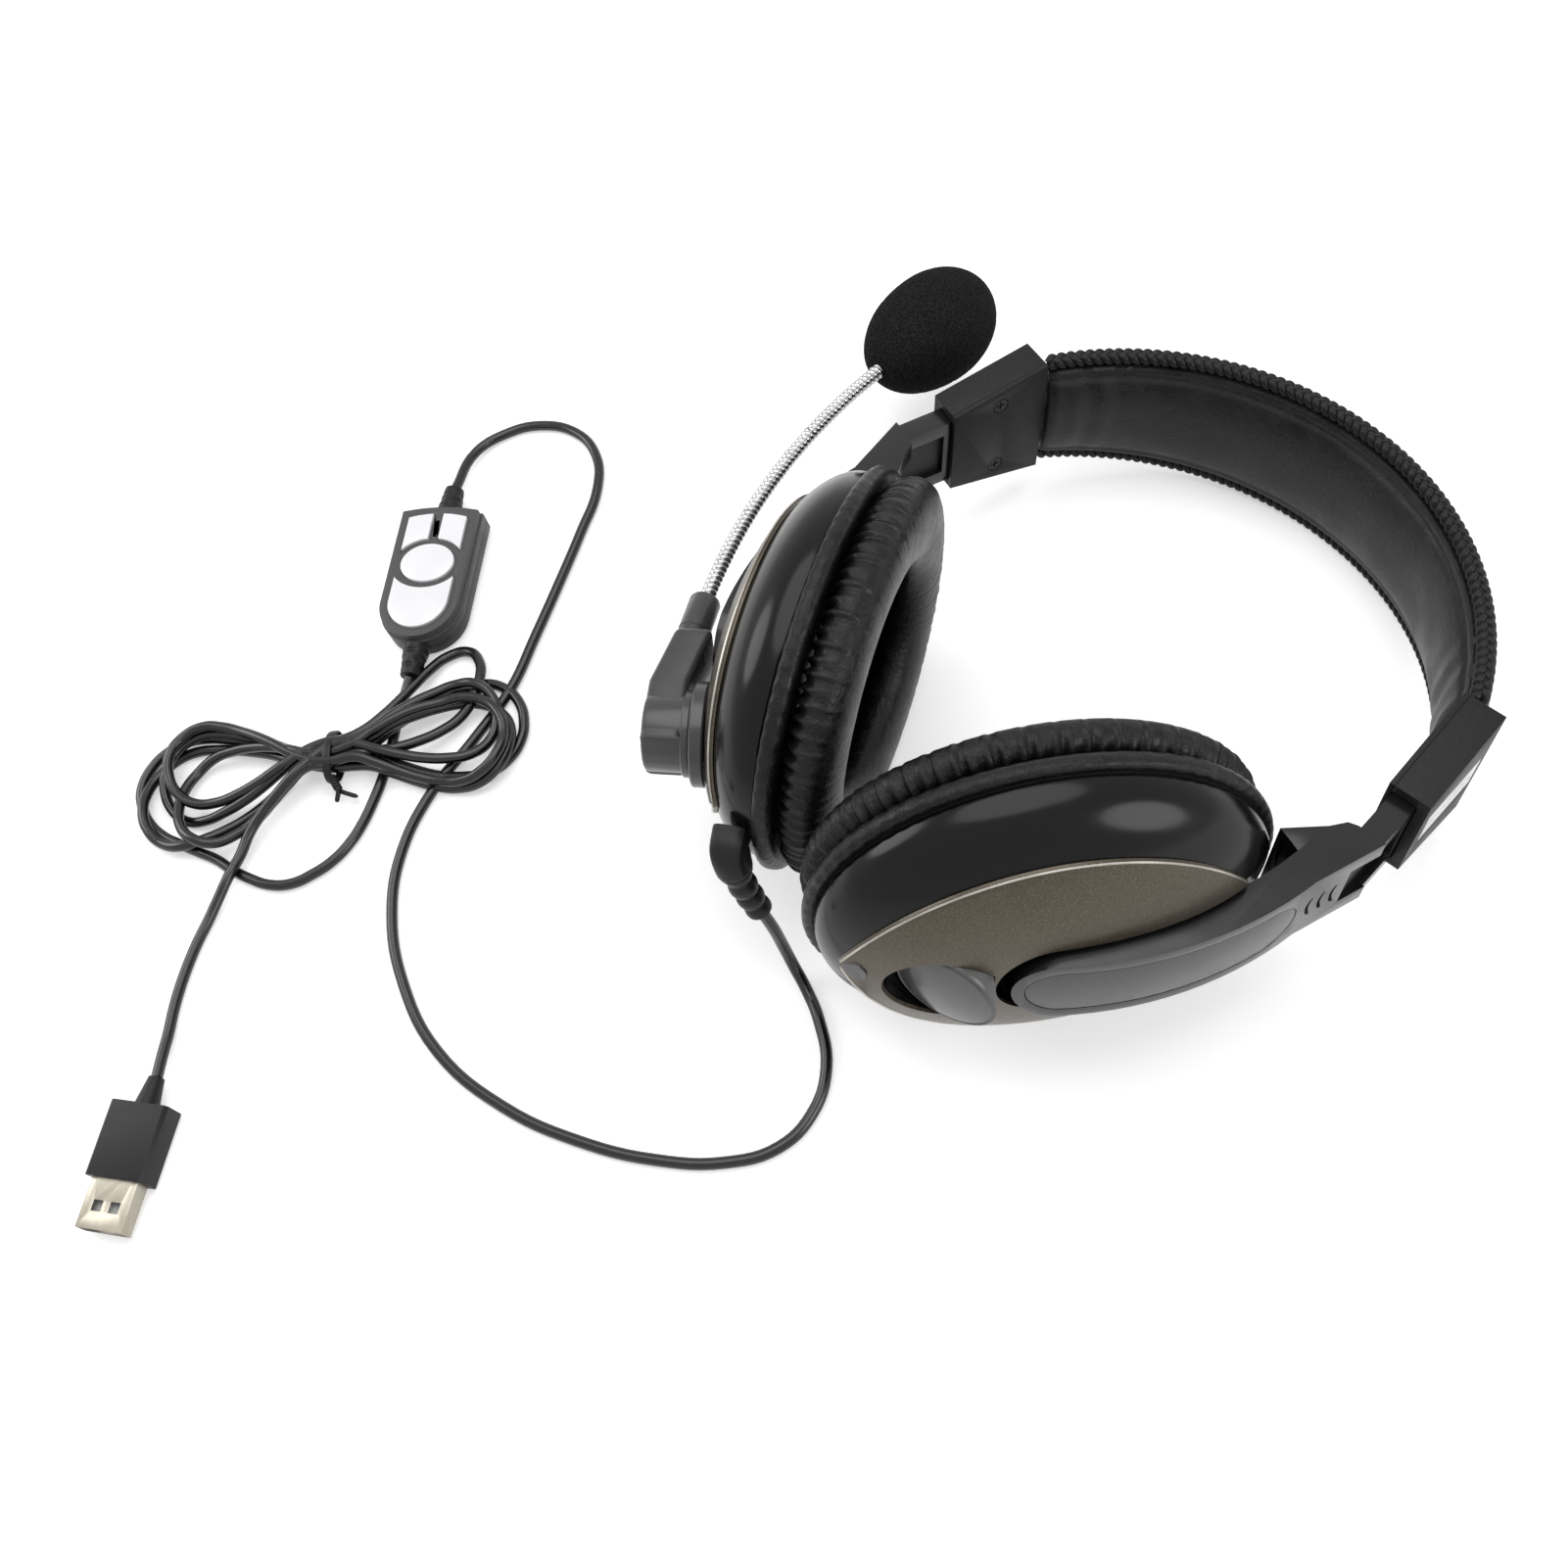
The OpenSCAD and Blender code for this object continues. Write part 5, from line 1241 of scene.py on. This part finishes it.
def seenDirectly(nodes):
    # 1 for what the camera, a reflection or a clear piece sees, 0 for what lights the scene
    seen = [nodes.node("ShaderNodeLightPath", out=ray)
            for ray in ("Is Camera Ray", "Is Glossy Ray", "Is Transmission Ray")]
    return nodes.maths("MAXIMUM", nodes.maths("MAXIMUM", *seen[:2]), seen[2])


scene.world = bpy.data.worlds.new("studio")
sky = emptied(scene.world)
level = sky.node("ShaderNodeMapRange", {0: seenDirectly(sky), 3: lightSettings["world"], 4: 1.0})
sky.node("ShaderNodeOutputWorld", {
    "Surface": sky.node("ShaderNodeBackground", {"Color": (1, 1, 1, 1), "Strength": level})})

# far from the lamps the floor is lifted further, so that it stays white to the horizon
floorMaterial = bpy.data.materials.new("floorPale")
ground = emptied(floorMaterial)
away = ground.node("ShaderNodeVectorMath", {0: ground.node("ShaderNodeTexCoord", out="Object")},
                   out="Value", operation="LENGTH")
far = ground.node("ShaderNodeMapRange",
                  {0: away, **dict(zip((1, 2, 3, 4), lightSettings["far"]))})
glow = ground.node("ShaderNodeEmission",
                   {"Strength": seenDirectly(ground) * lightSettings["lift"], "Color": far})
paint = ground.node("ShaderNodeBsdfDiffuse", {"Color": lightSettings["floor"]})
ground.node("ShaderNodeOutputMaterial",
            {"Surface": ground.node("ShaderNodeAddShader", {0: paint, 1: glow})})
half = lightSettings["reach"]
floorMesh = meshFrom("floor", [(-half, -half, 0), (half, -half, 0), (half, half, 0),
                               (-half, half, 0)], [np.array([[0, 1, 2, 3]])])
floorMesh.materials.append(floorMaterial)
floor = linked("floor", floorMesh)

for name, place, aim, size, strength in lightSettings["lamps"]:
    lamp = bpy.data.lights.new(name, "AREA")
    lamp.shape = "DISK"
    lamp.size = size * mm
    back = Vector(place) - Vector(aim)
    lamp.energy = strength * back.length_squared * lightSettings["power"]
    holder = linked(name, lamp)
    holder.location = Vector(place) * mm
    holder.rotation_euler = back.to_track_quat("Z", "Y").to_euler()
print("headset: light set")

# image points: the photograph's frame with its long side at 1568; each is where its thing shows,
# and in the photograph the middle of the grooves is 13 lower
frameWide = frameHigh = 1568
longSide = max(frameWide, frameHigh)
lensScale = longSide * cameraData.lens / cameraData.sensor_width
seekSettings = {"reach": (0.2, 0.8), "steps": 300, "corners": 6000, "short": 0.0005}
imagePoints = {
    "objectLeft": (639.8, None), "objectRight": (1506.6, None), "objectTop": (None, 266.2),
    "objectBottom": (None, 1025.7), "micFoam": (930.1, 330.1), "micHub": (680.1, 684.6),
    "roundCap": (946.7, 995.7), "cushionTop": (None, 717.8), "plateRight": (1248.8, None),
    "bracketLeft": (990.5, 414.2), "bracketRight": (1448.2, 782.6), "remoteTop": (432.7, 576.2),
    "plugShell": (102.7, 1218.4), "cupBoot": (740.5, 871.8), "armGrooves": (1319.2, 900.0)}


def rayThrough(x, y):
    ahead = Vector((x - frameWide / 2 + cameraData.shift_x * longSide,
                    frameHigh / 2 - y + cameraData.shift_y * longSide, -lensScale))
    eye = camera.matrix_world.translation
    return eye, (camera.matrix_world.to_3x3() @ ahead).normalized()


def onSurface(point, carrier):
    # where the point's ray meets the carrier, or the carrier's place nearest the ray
    eye, ahead = rayThrough(*point)
    tree = treeOf(carrier)
    hit = tree.ray_cast(eye, ahead)
    if hit[0] is None:
        tries = [tree.find_nearest(eye + ahead * far)
                 for far in np.linspace(*seekSettings["reach"], seekSettings["steps"])]
        hit = min(tries, key=lambda found: found[3])
    return np.array(hit[0]) / mm


def treeOf(piece):
    return BVHTree.FromObject(piece, bpy.context.evaluated_depsgraph_get())


def cornersOf(piece):
    done = piece.evaluated_get(bpy.context.evaluated_depsgraph_get()).to_mesh()
    corners = np.empty(len(done.vertices) * 3)
    done.vertices.foreach_get("co", corners)
    return corners.reshape(-1, 3)


# three comma grooves across each arm, by its window; the left arm has the mirrored row
grooveSettings = {"apart": 3.0, "half": 4.2, "bow": 1.3, "radius": 0.55, "sunk": 0.3,
                  "barAhead": (-0.62, 0.78, 0.0)}


def grooveSurface(middle, normal, along, tree):
    # a bowed line across the arm, laid on its surface, thinner at one end
    g = grooveSettings
    across = np.cross(normal, along)
    s = np.linspace(-1, 1, 25)[:, None]
    rows = []
    for k in (-1, 0, 1):
        line = middle + along * (g["apart"] * k + g["bow"] * s ** 2) + across * g["half"] * s
        finds = [tree.find_nearest(Vector(p * mm)) for p in line]
        line = np.array([np.array(at) / mm - np.array(out) * g["sunk"] for at, out, *_ in finds])
        radii = g["radius"] * np.interp(s[:, 0], [-1, -0.8, 0.6, 1], [0.5, 1.0, 0.7, 0.2])
        rows.append(roundTube(line, radii, up=normal, sides=10))
    return together(*rows)


middle = onSurface(imagePoints["armGrooves"], arms["r"])
barAhead = rest[:3, :3] @ np.array(grooveSettings["barAhead"])
flip = rest @ mirrorFor("l") @ np.linalg.inv(rest)
for side in sides:
    if side == "l":
        middle, barAhead = put(middle, flip), flip[:3, :3] @ barAhead
    tree = treeOf(arms[side])
    spot = tree.find_nearest(Vector(middle * mm))
    middle, normal = np.array(spot[0]) / mm, np.array(spot[1])
    along = barAhead - normal * (barAhead @ normal)
    addPiece("armGrooves_" + side,
             grooveSurface(middle, normal, along / np.linalg.norm(along), tree),
             foam, armBody[side])
print("headset: grooves placed", middle.round(1))

# the outermost vertex of each thing that nothing hides, in frame pixels, along each axis that its
# point gives
cordThings = {"cordMain", "cordHank", "hankTie", "remoteBoots", "remote_board", "plug_tongue",
              "remote_bottom_made", "remote_top_made", "plug_grip_made", "plug_shell_made",
              "button_left_made", "button_right_made", "button_oval_made", "button_moon_made"}
shown = {piece.name: piece for piece in scene.objects
         if piece.type == "MESH" and piece is not floor and not piece.hide_render}
trees = [treeOf(piece) for piece in shown.values()]
body = [piece for name, piece in shown.items() if name not in cordThings]
pointPieces = {"cushionTop": "earCushion_r", "plateRight": "eyePlate_r",
               "bracketLeft": "bracket_body_l_made", "bracketRight": "bracket_body_r_made",
               "remoteTop": "remote_top_made", "plugShell": "plug_shell_made",
               "armGrooves": "armGrooves_r"}
edges = {"objectLeft": (0, 1), "objectRight": (0, -1), "objectTop": (1, 1),
         "objectBottom": (1, -1), "cushionTop": (1, 1), "plateRight": (0, -1)}


def seenEdge(corners, spots, axis, sign):
    # the outermost vertex that nothing hides, in frame pixels
    eye = camera.matrix_world.translation
    order = np.argsort(spots[:, axis] * sign)
    for k in order[::max(1, len(order) // seekSettings["corners"])]:
        way = Vector(corners[k]) - eye
        far = way.length - seekSettings["short"]
        way.normalize()
        if all(tree.ray_cast(eye, way, far)[0] is None for tree in trees):
            return float(spots[k, axis])
    return None


turnBack = np.array(camera.matrix_world.to_3x3())
eyeAt = np.array(camera.matrix_world.translation)
for name, point in imagePoints.items():
    pieces = body if name.startswith("object") else [shown[pointPieces.get(name, name)]]
    corners = np.concatenate([cornersOf(piece) for piece in pieces])
    own = (corners - eyeAt) @ turnBack
    x, y = (own[:, :2] / own[:, 2:] * lensScale).T
    spots = np.stack([frameWide / 2 - cameraData.shift_x * longSide - x,
                      frameHigh / 2 + cameraData.shift_y * longSide + y], 1)
    for axis, wanted in enumerate(point):
        signs = (edges[name][1],) if name in edges else (1, -1)
        ends = [seenEdge(corners, spots, axis, sign) for sign in signs] if wanted else []
        ends = [end for end in ends if end is not None]
print("headset: points measured")
